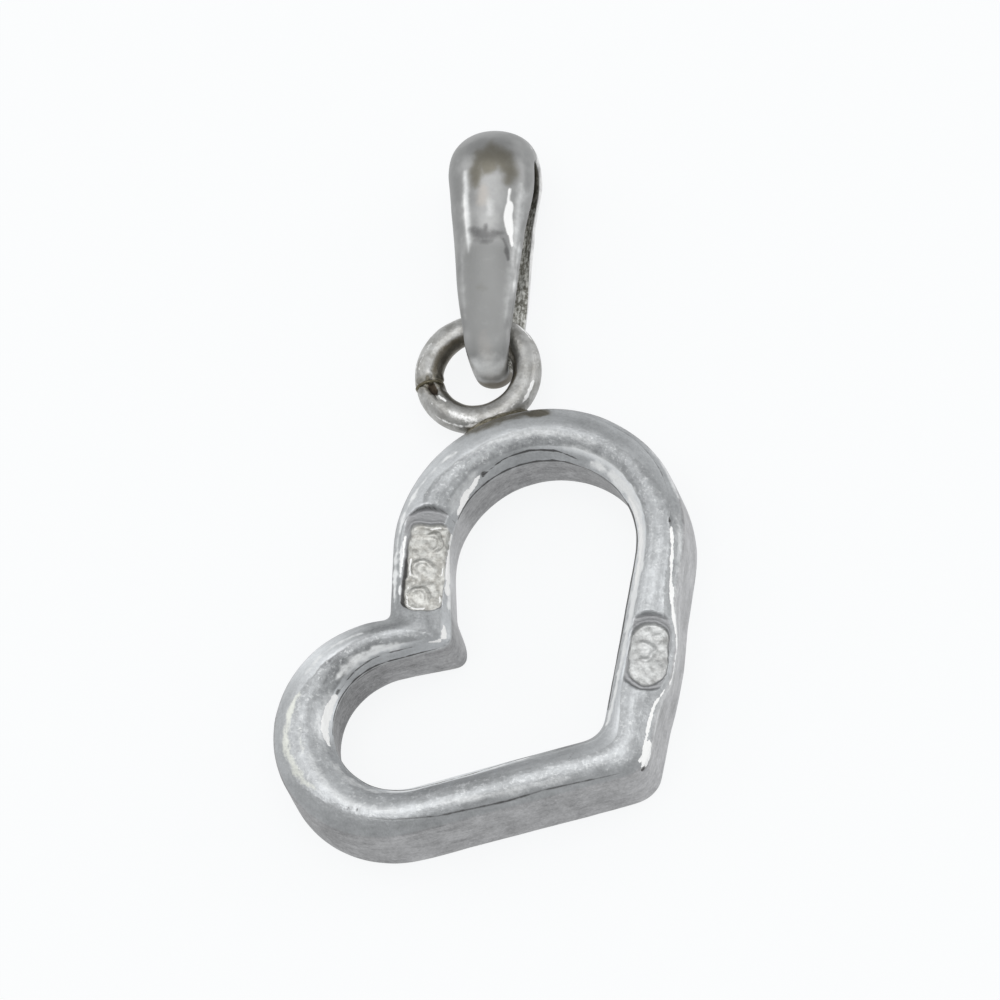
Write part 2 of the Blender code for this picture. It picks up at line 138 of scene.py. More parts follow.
@dataclass(frozen=True)
class Unevenness:
    """Coarse and fine lumps together: how high each kind is, how far apart, and the two patterns."""

    coarse: float
    coarse_size: float
    fine: float
    fine_size: float
    seed: int
    next_seed: int = 1

    def on(self, points: np.ndarray) -> np.ndarray:
        """Its height at each point, in millimetres."""
        coarse = self.coarse * lumps(points, self.coarse_size, self.seed)
        return coarse + self.fine * lumps(points, self.fine_size, self.seed + self.next_seed)

    def reseeded(self, shift: int) -> "Unevenness":
        """The same unevenness in other patterns."""
        return replace(self, seed=self.seed + shift)


def at_angle(centre: Vector, radius: float, angle: float) -> Vector:
    """The point of a circle at an angle from +X."""
    return centre + radius * Vector((math.cos(angle), math.sin(angle)))


# ---------------------------------------------------------------- modelling by hand


def deselect_all() -> None:
    """Leave nothing selected and nothing active."""
    if bpy.context.object and bpy.context.object.mode != "OBJECT":
        bpy.ops.object.mode_set(mode="OBJECT")
    bpy.ops.object.select_all(action="DESELECT")


def take(piece: bpy.types.Object) -> None:
    """Select one piece alone and make it active.

    Args:
        piece: The piece to select.
    """
    deselect_all()
    piece.select_set(True)
    bpy.context.view_layer.objects.active = piece


@contextmanager
def editing(piece: bpy.types.Object) -> Iterator[None]:
    """Edit mode on one piece, and object mode again afterwards.

    Args:
        piece: The piece to edit.

    Yields:
        Nothing, once the piece is in edit mode.
    """
    take(piece)
    bpy.ops.object.mode_set(mode="EDIT")
    try:
        yield
    finally:
        bpy.ops.object.mode_set(mode="OBJECT")


def subdivide(piece: bpy.types.Object, levels: int) -> None:
    """Round a piece off with a subdivision surface, and apply it.

    Args:
        piece: The piece to round off.
        levels: How often its faces are divided.
    """
    take(piece)
    modifier = piece.modifiers.new("rounding", "SUBSURF")
    modifier.levels = modifier.render_levels = levels
    bpy.ops.object.modifier_apply(modifier=modifier.name)


def new_piece(name: str) -> bpy.types.Object:
    """Name the primitive that was just added.

    Args:
        name: The piece's name.

    Returns:
        The piece.
    """
    piece = bpy.context.object
    piece.name = piece.data.name = name
    return piece


def drawn_out(vertex: bmesh.types.BMVert) -> bmesh.types.BMVert:
    """The new, selected point that was extruded from an old one."""
    return next(edge.other_vert(vertex) for edge in vertex.link_edges if edge.other_vert(vertex).select)


def extruded_loop(name: str, rows: np.ndarray, marks: dict[str, np.ndarray]) -> bpy.types.Object:
    """A closed section extruded from station to station until it meets its start.

    Args:
        name: The piece's name.
        rows: Places of the section's points, stations by points by 3.
        marks: Values to keep on the points by name, stations by points.

    Returns:
        The closed piece.
    """
    deselect_all()
    bpy.ops.mesh.primitive_circle_add(vertices=rows.shape[1], radius=1.0)
    piece = new_piece(name)
    with editing(piece):
        bpy.ops.mesh.select_all(action="SELECT")
        sheet = bmesh.from_edit_mesh(piece.data)
        for mark in marks:
            sheet.verts.layers.float.new(mark)
        ring = list(sheet.verts)
        for station in range(len(rows) + 1):
            if station:
                sheet.verts.index_update()
                indices = [vertex.index for vertex in ring]
                bpy.ops.mesh.extrude_edges_move()
                sheet = bmesh.from_edit_mesh(piece.data)
                sheet.verts.ensure_lookup_table()
                ring = [drawn_out(sheet.verts[index]) for index in indices]
            at = station % len(rows)
            for number, vertex in enumerate(ring):
                vertex.co = rows[at, number]
                for mark, values in marks.items():
                    vertex[sheet.verts.layers.float[mark]] = values[at, number]
            bmesh.update_edit_mesh(piece.data)
        bpy.ops.mesh.select_all(action="SELECT")
        bpy.ops.mesh.remove_doubles(threshold=MERGE_DISTANCE)
        bpy.ops.mesh.normals_make_consistent(inside=False)
    return piece


def turn_marks(turn: np.ndarray, count: int) -> dict[str, np.ndarray]:
    """How far round each station is, kept so that it doesn't jump where the run closes.

    Args:
        turn: The angle of each station.
        count: How many points a section has.

    Returns:
        The values to keep on the points, by name.
    """
    return {"turn_cos": np.outer(np.cos(turn), np.ones(count)), "turn_sin": np.outer(np.sin(turn), np.ones(count))}


class Surface:
    """A piece's points as arrays, to be sculpted and painted and then handed back."""

    def __init__(self, piece: bpy.types.Object) -> None:
        """Read the piece's points and their normals.

        Args:
            piece: The piece to work on.
        """
        self.piece = piece
        count = len(piece.data.vertices)
        points, normals = np.empty(count * 3), np.empty(count * 3)
        piece.data.vertices.foreach_get("co", points)
        piece.data.vertex_normals.foreach_get("vector", normals)
        self.points, self.normals = points.reshape(count, 3), normals.reshape(count, 3)

    def kept(self, mark: str) -> np.ndarray:
        """Read the values that are kept on the points.

        Args:
            mark: The name they are kept under.

        Returns:
            One value for each point.
        """
        values = np.empty(len(self.points))
        self.piece.data.attributes[mark].data.foreach_get("value", values)
        return values

    def run(self, length: float) -> np.ndarray:
        """How far round a closed run of this length each point is."""
        turn = np.arctan2(self.kept("turn_sin"), self.kept("turn_cos")) % FULL_TURN
        return turn * length / FULL_TURN

    def paint(self, mark: str, values: np.ndarray) -> None:
        """Keep a value from 0 to 1 on every point for the finish to read.

        Args:
            mark: The name to keep it under.
            values: One value for each point.
        """
        attributes = self.piece.data.attributes
        layer = attributes.get(mark) or attributes.new(mark, "FLOAT", "POINT")
        layer.data.foreach_set("value", np.clip(values, 0.0, 1.0).astype(np.float32))

    def push(self, amount: np.ndarray) -> None:
        """Move every point along its normal."""
        self.points += self.normals * amount[:, None]

    def hand_back(self) -> None:
        """Put the points back on the mesh."""
        self.piece.data.vertices.foreach_set("co", self.points.astype(np.float32).ravel())
        self.piece.data.update()


@dataclass(frozen=True)
class Stroke:
    """A run painted on a surface: a painted highlight, sheen or shade, a stain, a tone or a dent.

    It follows its path, reaches half its width to each side, and fades out over its soft rim. Its taper says how
    much of its width is lost at its ends.
    """

    path: tuple[tuple[float, float], ...]
    half_width: float
    soft: float
    strength: float = 1.0
    taper: float = 0.75

    def cover(self, first: np.ndarray, second: np.ndarray, wander: np.ndarray) -> np.ndarray:
        """How much of the stroke is on each point.

        Args:
            first: The points' first coordinate, in millimetres.
            second: Their second coordinate, in millimetres.
            wander: What is added to the distance, for a ragged rim.

        Returns:
            0 to the stroke's strength.
        """
        nearest = np.full(len(first), np.inf)
        passed = np.zeros(len(first))
        lengths = [math.dist(*pair) for pair in zip(self.path, self.path[1:])]
        before = 0.0
        for (x0, y0), (x1, y1), length in zip(self.path, self.path[1:], lengths):
            share = np.clip(((first - x0) * (x1 - x0) + (second - y0) * (y1 - y0)) / length**2, 0.0, 1.0)
            away = np.hypot(first - x0 - share * (x1 - x0), second - y0 - share * (y1 - y0))
            passed = np.where(away < nearest, (before + share * length) / sum(lengths), passed)
            nearest = np.minimum(nearest, away)
            before += length
        half = self.half_width * (1 - self.taper * (1 - np.sqrt(4 * passed * (1 - passed))))
        return self.strength * (1 - ramp(-self.soft, self.soft, nearest + wander - half))


def strokes_on(strokes: Sequence[Stroke], first: np.ndarray, second: np.ndarray, wander: np.ndarray) -> np.ndarray:
    """The strongest of a set of strokes on each point."""
    return np.max([stroke.cover(first, second, wander) for stroke in strokes], axis=0)


def settle(piece: bpy.types.Object, body: Body, node: str, shift: Vector) -> None:
    """Bring a finished piece from millimetres to its place in the frame and hand it over.

    Args:
        piece: The finished piece.
        body: The body that it moves with.
        node: The node that it stands for.
        shift: Where the lower lobe's middle is in the frame, in metres.
    """
    piece.data.transform(Matrix.Translation(shift) @ Matrix.Scale(MM, 4))
    take(piece)
    bpy.ops.object.shade_smooth()
    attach(piece, body.value)
    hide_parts(node)
    log.info("%s: %d faces", piece.name, len(piece.data.polygons))


# ---------------------------------------------------------------- finishes

# A Mix node's sockets for colours, which go by number because their names repeat
MIX_SHARE, MIX_UNDER, MIX_OVER, MIX_RESULT = 0, 6, 7, 2


class Wire:
    """A shader socket that Python expressions can use."""

    def __init__(self, nodes: "Nodes", socket: bpy.types.NodeSocket) -> None:
        """Wrap an output of a node tree."""
        self.nodes = nodes
        self.socket = socket

    def maths(self, operation: str, first: "Wire | float", second: "Wire | float") -> "Wire":
        """A Math node on two values."""
        return self.nodes.node("ShaderNodeMath", {"operation": operation}, {0: first, 1: second})

    def __add__(self, other: "Wire | float") -> "Wire":
        """Sum."""
        return self.maths("ADD", self, other)

    def __radd__(self, other: float) -> "Wire":
        """Sum, the other way round."""
        return self.maths("ADD", other, self)

    def __sub__(self, other: "Wire | float") -> "Wire":
        """Difference."""
        return self.maths("SUBTRACT", self, other)

    def __rsub__(self, other: float) -> "Wire":
        """Difference, the other way round."""
        return self.maths("SUBTRACT", other, self)

    def __mul__(self, other: "Wire | float") -> "Wire":
        """Product."""
        return self.maths("MULTIPLY", self, other)

    def __rmul__(self, other: float) -> "Wire":
        """Product, the other way round."""
        return self.maths("MULTIPLY", other, self)

    def at_least(self, other: "Wire | float") -> "Wire":
        """The higher of two values."""
        return self.maths("MAXIMUM", self, other)

    def swing(self, strength: float) -> "Wire":
        """A noise from 0 to 1 as a rise and fall about 0."""
        return strength * (self - 0.5)

    def step(self, low: float, high: float) -> "Wire":
        """A smooth rise from 0 at low to 1 at high."""
        sockets = {"Value": self, "From Min": low, "From Max": high}
        return self.nodes.node("ShaderNodeMapRange", {"interpolation_type": "SMOOTHSTEP"}, sockets)


class Nodes:
    """A node tree, and the one way in which nodes are added to it."""

    def __init__(self, tree: bpy.types.NodeTree) -> None:
        """Work on a tree."""
        self.tree = tree

    def node(
        self, kind: str, settings: dict[str, object], sockets: dict[int | str, object], output: int | str = 0
    ) -> Wire:
        """Add a node.

        Args:
            kind: The node's type.
            settings: What is set on the node first.
            sockets: Values or links of its inputs, by name or number.
            output: Which output is wanted.

        Returns:
            The output, ready for expressions.
        """
        made = self.tree.nodes.new(kind)
        for name, value in settings.items():
            setattr(made, name, value)
        for name, value in sockets.items():
            self.feed(made.inputs[name], value)
        return Wire(self, made.outputs[output])

    def feed(self, socket: bpy.types.NodeSocket, value: object) -> None:
        """Link a wire to a socket, or set the socket's own value.

        Args:
            socket: The input to feed.
            value: A wire, or a number or colour.
        """
        if isinstance(value, Wire):
            self.tree.links.new(value.socket, socket)
        elif isinstance(value, tuple) and len(value) == 3 and socket.type == "RGBA":
            socket.default_value = (*value, 1.0)
        else:
            socket.default_value = value

    def seen_rays(self, *outputs: str) -> Wire:
        """1 for the kinds of ray that are named, as Light Path tells them.

        Args:
            outputs: The names of the kinds.

        Returns:
            0 or 1.
        """
        rays = [self.node("ShaderNodeLightPath", {}, {}, output) for output in outputs]
        found = rays[0]
        for ray in rays[1:]:
            found = found.at_least(ray)
        return found


class Finish(Nodes):
    """A material whose colour, roughness and relief are built from nodes."""

    def __init__(self, name: str) -> None:
        """Start a plain metal.

        Args:
            name: The material's name.
        """
        self.material = bpy.data.materials.new(name)
        self.material.use_nodes = True
        super().__init__(self.material.node_tree)
        self.shader = self.tree.nodes["Principled BSDF"]
        self.shader.inputs["Metallic"].default_value = 1.0
        self.coordinates = self.node("ShaderNodeTexCoord", {}, {}, "Object")

    def painted(self, mark: str) -> Wire:
        """A value that is kept on the points."""
        return self.node("ShaderNodeAttribute", {"attribute_name": mark}, {}, "Fac")

    def ragged(self, mark: str, rim: tuple[float, float], *layers: tuple[Wire, float]) -> Wire:
        """A painted value whose rim is broken up by noise.

        Args:
            mark: The name of the painted value.
            rim: The values at which it starts and at which it is full.
            layers: Each noise, and how strongly it acts.

        Returns:
            0 to 1.
        """
        value = self.painted(mark)
        for noise, strength in layers:
            value = value + noise.swing(strength)
        return value.step(*rim)

    def grain(self, size: float, detail: float, rough: float = 0.5) -> Wire:
        """Noise from 0 to 1.

        Args:
            size: How far apart its lumps are, in millimetres.
            detail: How many finer layers it has.
            rough: How strong the finer layers are.

        Returns:
            The noise.
        """
        sockets = {"Vector": self.coordinates, "Scale": 1 / (size * MM), "Detail": detail, "Roughness": rough}
        return self.node("ShaderNodeTexNoise", {}, sockets)

    def streaks(self, round_length: float, long: float, across: Wire, fine: float) -> Wire:
        """Noise drawn out along a closed run, as polishing leaves it.

        Args:
            round_length: Length of the run in millimetres.
            long: How far apart the lumps are along it.
            across: Place across the run in millimetres.
            fine: How far apart the lumps are across it.

        Returns:
            The noise.
        """
        radius = round_length / FULL_TURN / long
        turned = self.painted("turn_cos") * radius, self.painted("turn_sin") * radius
        placed = self.node("ShaderNodeCombineXYZ", {}, {"X": turned[0], "Y": turned[1], "Z": across * (1 / fine)})
        noise = {"Vector": placed, "Scale": 1.0, "Detail": 3.0, "Roughness": 0.6}
        return self.node("ShaderNodeTexNoise", {}, noise)

    def blend(self, share: Wire | float, under: Wire | Colour, over: Wire | Colour) -> Wire:
        """One colour over another by a share."""
        sockets = {MIX_SHARE: share, MIX_UNDER: under, MIX_OVER: over}
        return self.node("ShaderNodeMix", {"data_type": "RGBA"}, sockets, MIX_RESULT)

    def dress(self, piece: bpy.types.Object) -> None:
        """Put the finish on a piece."""
        piece.data.materials.clear()
        piece.data.materials.append(self.material)

    def done(self, colour: Wire, roughness: Wire, relief: Wire, depth: float, bright: Wire | None = None) -> None:
        """Link the shader.

        Args:
            colour: The metal's colour.
            roughness: How blurred its reflections are.
            relief: Height of the fine texture, about 0 to 1.
            depth: What 1 of relief stands for, in millimetres.
            bright: Where painted highlights and sheen are, which turn from metal to white paint there, if anywhere.
        """
        if bright is not None:
            self.feed(self.shader.inputs["Metallic"], 1.0 - bright)
        self.feed(self.shader.inputs["Base Color"], colour)
        self.feed(self.shader.inputs["Roughness"], roughness)
        bump = self.node("ShaderNodeBump", {}, {"Height": relief, "Distance": depth * MM, "Strength": 1.0})
        self.feed(self.shader.inputs["Normal"], bump)


# ---------------------------------------------------------------- the heart's plan


def tangent_normal(start: Vector, start_radius: float, end: Vector, end_radius: float) -> Vector:
    """Normal of the straight line from one circle to the next, going clockwise round the heart.

    Args:
        start: Centre of the circle that the line leaves.
        start_radius: Its radius, negative where the outline passes on its other side.
        end: Centre of the circle that the line meets.
        end_radius: Its radius.

    Returns:
        The line's outward normal.
    """
    along = end - start
    distance = along.length
    along = along / distance
    share = max(-1.0, min(1.0, (start_radius - end_radius) / distance))
    return share * along + math.sqrt(1.0 - share * share) * Vector((-along.y, along.x))


def clockwise_arc(centre: Vector, radius: float, start: Vector, end: Vector) -> np.ndarray:
    """Points of an arc between two normals.

    Args:
        centre: The arc's centre.
        radius: Its radius, negative where the arc is followed the other way.
        start: The normal where it starts.
        end: The normal where it ends.

    Returns:
        Its points, clockwise, or the other way for a negative radius.
    """
    first = math.atan2(start.y, start.x)
    sweep = (first - math.atan2(end.y, end.x)) % FULL_TURN
    if radius < 0:
        sweep -= FULL_TURN
    steps = max(2, math.ceil(abs(sweep) / ARC_STEP))
    return np.array([at_angle(centre, radius, first - sweep * step / steps) for step in range(steps + 1)])


def evenly(points: np.ndarray, count: int) -> np.ndarray:
    """Divide a run of points into equal lengths.

    Args:
        points: The run, in plan.
        count: How many lengths.

    Returns:
        Where each length starts.
    """
    lengths = np.concatenate([[0.0], np.cumsum(np.linalg.norm(np.diff(points, axis=0), axis=1))])
    wanted = lengths[-1] * np.arange(count) / count
    return np.stack([np.interp(wanted, lengths, points[:, axis]) for axis in range(2)], axis=1)


@dataclass
class HeartPlan:
    """The outlines of the heart and of its window: three circles each, their tangents and a corner at the cleft."""

    lower_lobe: float = 3.58
    upper_lobe: float = 4.54
    upper_x: float = 4.43
    upper_y: float = 5.9
    tip_x: float = 7.18
    tip_y: float = -0.94
    tip_radius: float = 0.94
    cleft_radius: float = 0.22
    upper_left: float = 1.72
    upper_right: float = 1.54
    upper_top: float = 1.69
    lower_left: float = 1.82
    lower_top: float = 1.25
    lower_bottom: float = 1.66
    side_band: float = 1.6
    window_tip_radius: float = 0.8
    nose_radius: float = 0.35
    nose_x: float = 1.76
    nose_y: float = 0.77
    nose_share: float = 0.05

    def __post_init__(self) -> None:
        """Work out the centres of the circles."""
        self.lower = Vector((0.0, 0.0))
        self.upper = Vector((self.upper_x, self.upper_y))
        self.tip = Vector((self.tip_x, self.tip_y))
        root_x = self.upper_x - self.upper_lobe - self.cleft_radius
        self.root = Vector((root_x, math.sqrt((self.lower_lobe + self.cleft_radius) ** 2 - root_x**2)))
        self.upper_window_radius = self.upper_lobe - (self.upper_left + self.upper_right) / 2
        self.upper_window = self.upper + Vector(
            ((self.upper_left - self.upper_right) / 2, self.upper_lobe - self.upper_top - self.upper_window_radius)
        )
        self.lower_window_radius = self.lower_lobe - (self.lower_top + self.lower_bottom) / 2
        self.lower_window = Vector(
            (self.lower_left + self.lower_window_radius - self.lower_lobe, (self.lower_bottom - self.lower_top) / 2)
        )
        self.nose = self.root + Vector((self.nose_x, -self.nose_y))
        right = self.right_normal()
        below = tangent_normal(self.tip, self.tip_radius, self.lower, self.lower_lobe)
        inwards = -(right + below).normalized()
        reach = (self.side_band + self.window_tip_radius - self.tip_radius) / -inwards.dot(right)
        self.window_tip = self.tip + reach * inwards

    def right_normal(self) -> Vector:
        """Outward normal of the heart's straight right side."""
        return tangent_normal(self.upper, self.upper_lobe, self.tip, self.tip_radius)

    def spans(self, circles: Sequence[tuple[Vector, float]]) -> list[np.ndarray]:
        """One outline as its arcs and lines, clockwise from the middle of its corner.

        Args:
            circles: Centre and radius of the upper lobe, the tip, the lower lobe and the corner.

        Returns:
            The points of each span.
        """
        (upper, upper_radius), (tip, tip_radius), (lower, lower_radius), (corner, corner_radius) = circles
        rising = tangent_normal(corner, -corner_radius, upper, upper_radius)
        right = tangent_normal(upper, upper_radius, tip, tip_radius)
        below = tangent_normal(tip, tip_radius, lower, lower_radius)
        ending = tangent_normal(lower, lower_radius, corner, -corner_radius)
        turn = clockwise_arc(corner, -corner_radius, ending, rising)
        middle = len(turn) // 2
        upper_arc = clockwise_arc(upper, upper_radius, rising, right)
        tip_arc = clockwise_arc(tip, tip_radius, right, below)
        lower_arc = clockwise_arc(lower, lower_radius, below, ending)
        return [
            turn[middle:], np.array([turn[-1], upper_arc[0]]), upper_arc, np.array([upper_arc[-1], tip_arc[0]]),
            tip_arc, np.array([tip_arc[-1], lower_arc[0]]), lower_arc, np.array([lower_arc[-1], turn[0]]),
            turn[: middle + 1],
        ]

    def pairs(self, step: float) -> tuple[np.ndarray, np.ndarray]:
        """Outer and window points that face each other, once round the heart.

        Args:
            step: The longest distance between two stations.

        Returns:
            The outer points and the window's points.
        """
        outer = self.spans(
            [(self.upper, self.upper_lobe), (self.tip, self.tip_radius),
             (self.lower, self.lower_lobe), (self.root, self.cleft_radius)]
        )
        window = self.spans(
            [(self.upper_window, self.upper_window_radius), (self.window_tip, self.window_tip_radius),
             (self.lower_window, self.lower_window_radius), (self.nose, self.nose_radius)]
        )
        lower_arc, last_line = 6, 7
        split = round(len(outer[lower_arc]) * (1 - self.nose_share))
        outer[lower_arc], outer[last_line] = outer[lower_arc][: split + 1], outer[lower_arc][split:]
        outside, inside = [], []
        for far, near in zip(outer, window):
            longest = max(np.linalg.norm(np.diff(run, axis=0), axis=1).sum() for run in (far, near))
            count = max(FEWEST_STEPS, math.ceil(longest / step))
            outside.append(evenly(far, count))
            inside.append(evenly(near, count))
        return np.concatenate(outside), np.concatenate(inside)


# ---------------------------------------------------------------- the heart

# Colours of the cast heart: silver at full lightness on the dome and on the walls, and what lies on it, painted
# highlights, sheen and shade among them
DOME_SILVER = (0.955, 0.98, 1.0)
WALL_SILVER = (0.985, 0.985, 1.0)
NO_SILVER = (0.0, 0.0, 0.0)
CREAM_HIGHLIGHT = (0.86, 0.87, 0.8)
FLAT_SILVER = (0.31, 0.313, 0.32)
# Painted sheen: a paler silver that stands in for soft reflections
SHEEN_SILVER = (0.9, 0.91, 0.91)
FLOOR_LOW = (0.36, 0.35, 0.325)
FLOOR_HIGH = (0.6, 0.6, 0.575)
# Painted highlight: white that stands in for light glancing off the silver
HIGHLIGHT_WHITE = (0.99, 0.99, 0.98)
STAIN_BROWN = (0.155, 0.138, 0.1)
# Painted shade: near black for the dark lines, the outlines and the pits
SHADE_LINE = (0.06, 0.057, 0.055)

# Width of the band that one step of place stands for
BAND_WIDTH = 1.6

# Places across the band, from the outer foot (0) to the inner foot (3) and back underneath to 4
OUTER_WALL = (0.05, 1.0)
DOME = (1.1, 1.85)
INNER_CHAMFER = (1.85, 2.0)
WINDOW_WALL = (2.02, 2.95)
BACK = (3.0, 4.0)

# The place that the back's points get, so that they aren't taken for a wall's foot, and the height that they are under
UNDERNEATH = -0.5
BACK_HEIGHT = 0.02

# Where the ridge's painted sheen runs: millimetres along the band from the cleft, and its outer and inner place
RIDGE_SHEEN_RUN = (
    (0.0, 1.79, 1.8), (0.4, 1.79, 1.8), (3.3, 1.66, 1.8), (4.2, 1.35, 1.8), (6.0, 1.5, 1.8), (8.0, 1.52, 1.8),
    (10.0, 1.55, 1.79), (11.0, 1.45, 1.77), (12.5, 1.3, 1.76), (14.5, 1.27, 1.76), (17.0, 1.2, 1.77), (19.8, 1.25, 1.7),
    (21.0, 1.2, 1.6), (22.0, 1.2, 1.55), (24.0, 1.17, 1.6), (27.0, 1.22, 1.78), (28.5, 1.33, 1.87), (30.0, 1.36, 1.87),
    (31.5, 1.22, 1.88), (33.0, 1.25, 1.88), (34.5, 1.45, 1.88), (36.0, 1.5, 1.85), (37.4, 1.45, 1.8), (37.9, 1.6, 1.8),
)

# Painted light and shade: how light the silver is painted, lighter or darker along the band where the light falls on
# it: millimetres along the band, then outer wall, outer slope, ridge, inner slope, inner chamfer and inner wall
PAINTED_LIGHT_RUN = (
    (0.2, 0.36, 0.36, 0.52, 0.38, 0.8, 0.38), (2.0, 0.36, 0.46, 0.45, 0.48, 0.46, 0.62),
    (5.0, 0.36, 0.68, 0.42, 0.46, 0.6, 0.37), (7.5, 0.36, 0.54, 0.34, 0.43, 0.47, 0.34),
    (10.0, 0.36, 0.45, 0.4, 0.82, 0.55, 0.285), (12.0, 0.4, 0.55, 0.42, 1.0, 0.9, 0.34),
    (14.0, 0.51, 0.33, 0.51, 1.0, 1.0, 0.34), (16.0, 0.53, 0.37, 0.62, 1.0, 0.75, 0.34),
    (18.2, 0.49, 0.45, 0.57, 0.85, 0.5, 0.34), (20.5, 0.49, 0.47, 0.52, 0.8, 0.6, 0.34),
    (22.5, 0.39, 0.45, 0.5, 0.5, 0.2, 0.34), (25.5, 0.38, 0.43, 0.44, 0.54, 1.0, 0.34),
    (28.0, 0.39, 0.42, 0.56, 0.5, 0.95, 0.34), (30.0, 0.33, 0.44, 0.6, 0.67, 0.55, 0.34),
    (32.0, 0.29, 0.53, 0.56, 0.3, 0.6, 0.29), (33.8, 0.3, 0.5, 0.5, 0.27, 1.0, 0.25),
    (35.2, 0.36, 0.86, 0.27, 0.76, 0.54, 0.27), (37.0, 0.36, 0.34, 0.4, 0.88, 0.62, 0.33),
)


def part_way(span: tuple[float, float], share: float) -> float:
    """The place at a share of the way from a span's start to its end."""
    return span[0] + share * (span[1] - span[0])


def on_band(*path: tuple[float, float]) -> tuple[tuple[float, float], ...]:
    """A path given as millimetres along the band and place across it, all in millimetres."""
    return tuple((along, place * BAND_WIDTH) for along, place in path)


# Painted highlights in white: the inner chamfer at both lobes, beside the long mark and at the nose, and the right
# shoulder
HIGHLIGHT_STROKES = (
    Stroke(on_band((4.3, 1.98), (5.1, 1.95), (5.5, 1.93), (5.95, 1.88)), 0.05, 0.03),
    Stroke(on_band((4.7, 1.96), (5.4, 1.92)), 0.06, 0.03),
    Stroke(
        on_band((14.1, 1.24), (15.4, 1.15), (16.8, 1.03), (17.2, 0.99), (18.0, 0.97), (18.7, 0.98)),
        0.04, 0.03, 1.0, 0.5,
    ),
    Stroke(on_band((18.9, 1.04), (19.4, 1.09), (20.2, 1.11), (21.2, 1.09)), 0.035, 0.03),
    Stroke(on_band((15.8, 1.1), (16.4, 1.06), (17.0, 1.0)), 0.06, 0.03, 0.9),
    Stroke(on_band((12.4, 1.91), (13.4, 1.9), (14.8, 1.87), (16.2, 1.84)), 0.05, 0.06, 0.95),
    Stroke(on_band((20.45, 1.05), (20.9, 1.02), (21.25, 0.97)), 0.13, 0.05),
    Stroke(on_band((32.1, 1.91), (32.8, 1.88), (33.5, 1.89), (34.3, 1.93)), 0.085, 0.03),
    Stroke(on_band((33.1, 1.9), (33.9, 1.91)), 0.1, 0.04),
    Stroke(on_band((1.4, 1.96), (1.9, 1.98), (2.5, 2.0), (3.0, 2.0), (3.5, 2.0)), 0.05, 0.04, 1.0, 0.3),
    Stroke(on_band((37.8, 1.87), (38.1, 1.9)), 0.03, 0.03),
    Stroke(on_band((0.0, 1.91), (0.4, 1.89)), 0.06, 0.03),
)

# Painted sheen in paler runs with soft rims: both shoulders, the inner edge all round and beside the highlighted
# chamfers
SHEEN_STROKES = (
    Stroke(on_band((0.4, 1.1), (1.6, 1.07), (3.4, 1.12), (4.6, 1.2), (5.8, 1.32)), 0.04, 0.07, 0.75),
    Stroke(on_band((0.9, 1.2), (2.4, 1.18), (3.5, 1.24)), 0.03, 0.03, 0.9),
    Stroke(
        on_band((10.4, 1.9), (12.2, 1.89), (13.5, 1.87), (15.5, 1.83), (17.5, 1.84), (19.0, 1.84)),
        0.12, 0.1, 0.95, 0.8,
    ),
    Stroke(on_band((9.2, 1.8), (11.0, 1.8), (13.0, 1.79), (15.0, 1.78)), 0.06, 0.12, 0.5),
    Stroke(on_band((10.2, 1.0), (11.6, 0.99), (13.2, 1.02)), 0.05, 0.06, 0.45),
    Stroke(on_band((18.6, 1.86), (19.6, 1.84), (20.3, 1.84), (20.9, 1.89)), 0.05, 0.05, 0.9),
    Stroke(on_band((13.8, 1.12), (16.5, 0.97), (18.0, 0.9), (19.2, 1.0), (21.0, 0.9)), 0.12, 0.14, 0.35),
    Stroke(on_band((15.0, 0.9), (16.8, 0.7), (18.5, 0.65)), 0.1, 0.12, 0.25),
    Stroke(on_band((1.0, 1.98), (2.2, 2.0), (3.5, 2.03)), 0.05, 0.05, 0.7),
    Stroke(on_band((31.9, 1.84), (33.0, 1.8), (34.3, 1.88)), 0.11, 0.1, 0.35),
    Stroke(on_band((4.2, 1.9), (5.9, 1.82)), 0.12, 0.1, 0.35),
    Stroke(on_band((6.2, 1.52), (8.5, 1.6), (10.4, 1.62)), 0.1, 0.1, 0.3),
    Stroke(on_band((23.8, 1.93), (25.5, 1.92), (27.4, 1.93), (29.0, 1.93)), 0.06, 0.05, 0.85),
    Stroke(on_band((23.0, 1.22), (25.0, 1.26), (27.0, 1.36)), 0.08, 0.1, 0.4),
    Stroke(on_band((28.2, 1.45), (30.0, 1.5), (32.0, 1.6)), 0.1, 0.12, 0.35),
    Stroke(on_band((34.6, 1.3), (35.6, 1.28), (36.6, 1.36)), 0.06, 0.06, 0.5),
    Stroke(on_band((34.8, 1.82), (36.2, 1.8), (37.4, 1.8)), 0.11, 0.07, 0.65),
    Stroke(on_band((29.0, 1.84), (30.2, 1.85), (31.4, 1.84)), 0.08, 0.07, 0.45),
)

# A painted highlight in cream on the lower lobe
CREAM_HIGHLIGHT_STROKES = (
    Stroke(on_band((30.8, 1.37), (31.6, 1.29), (32.4, 1.26), (33.2, 1.3), (34.0, 1.38)), 0.11, 0.12, 0.85),
    Stroke(on_band((31.9, 1.5), (33.2, 1.55)), 0.06, 0.06, 0.5),
)
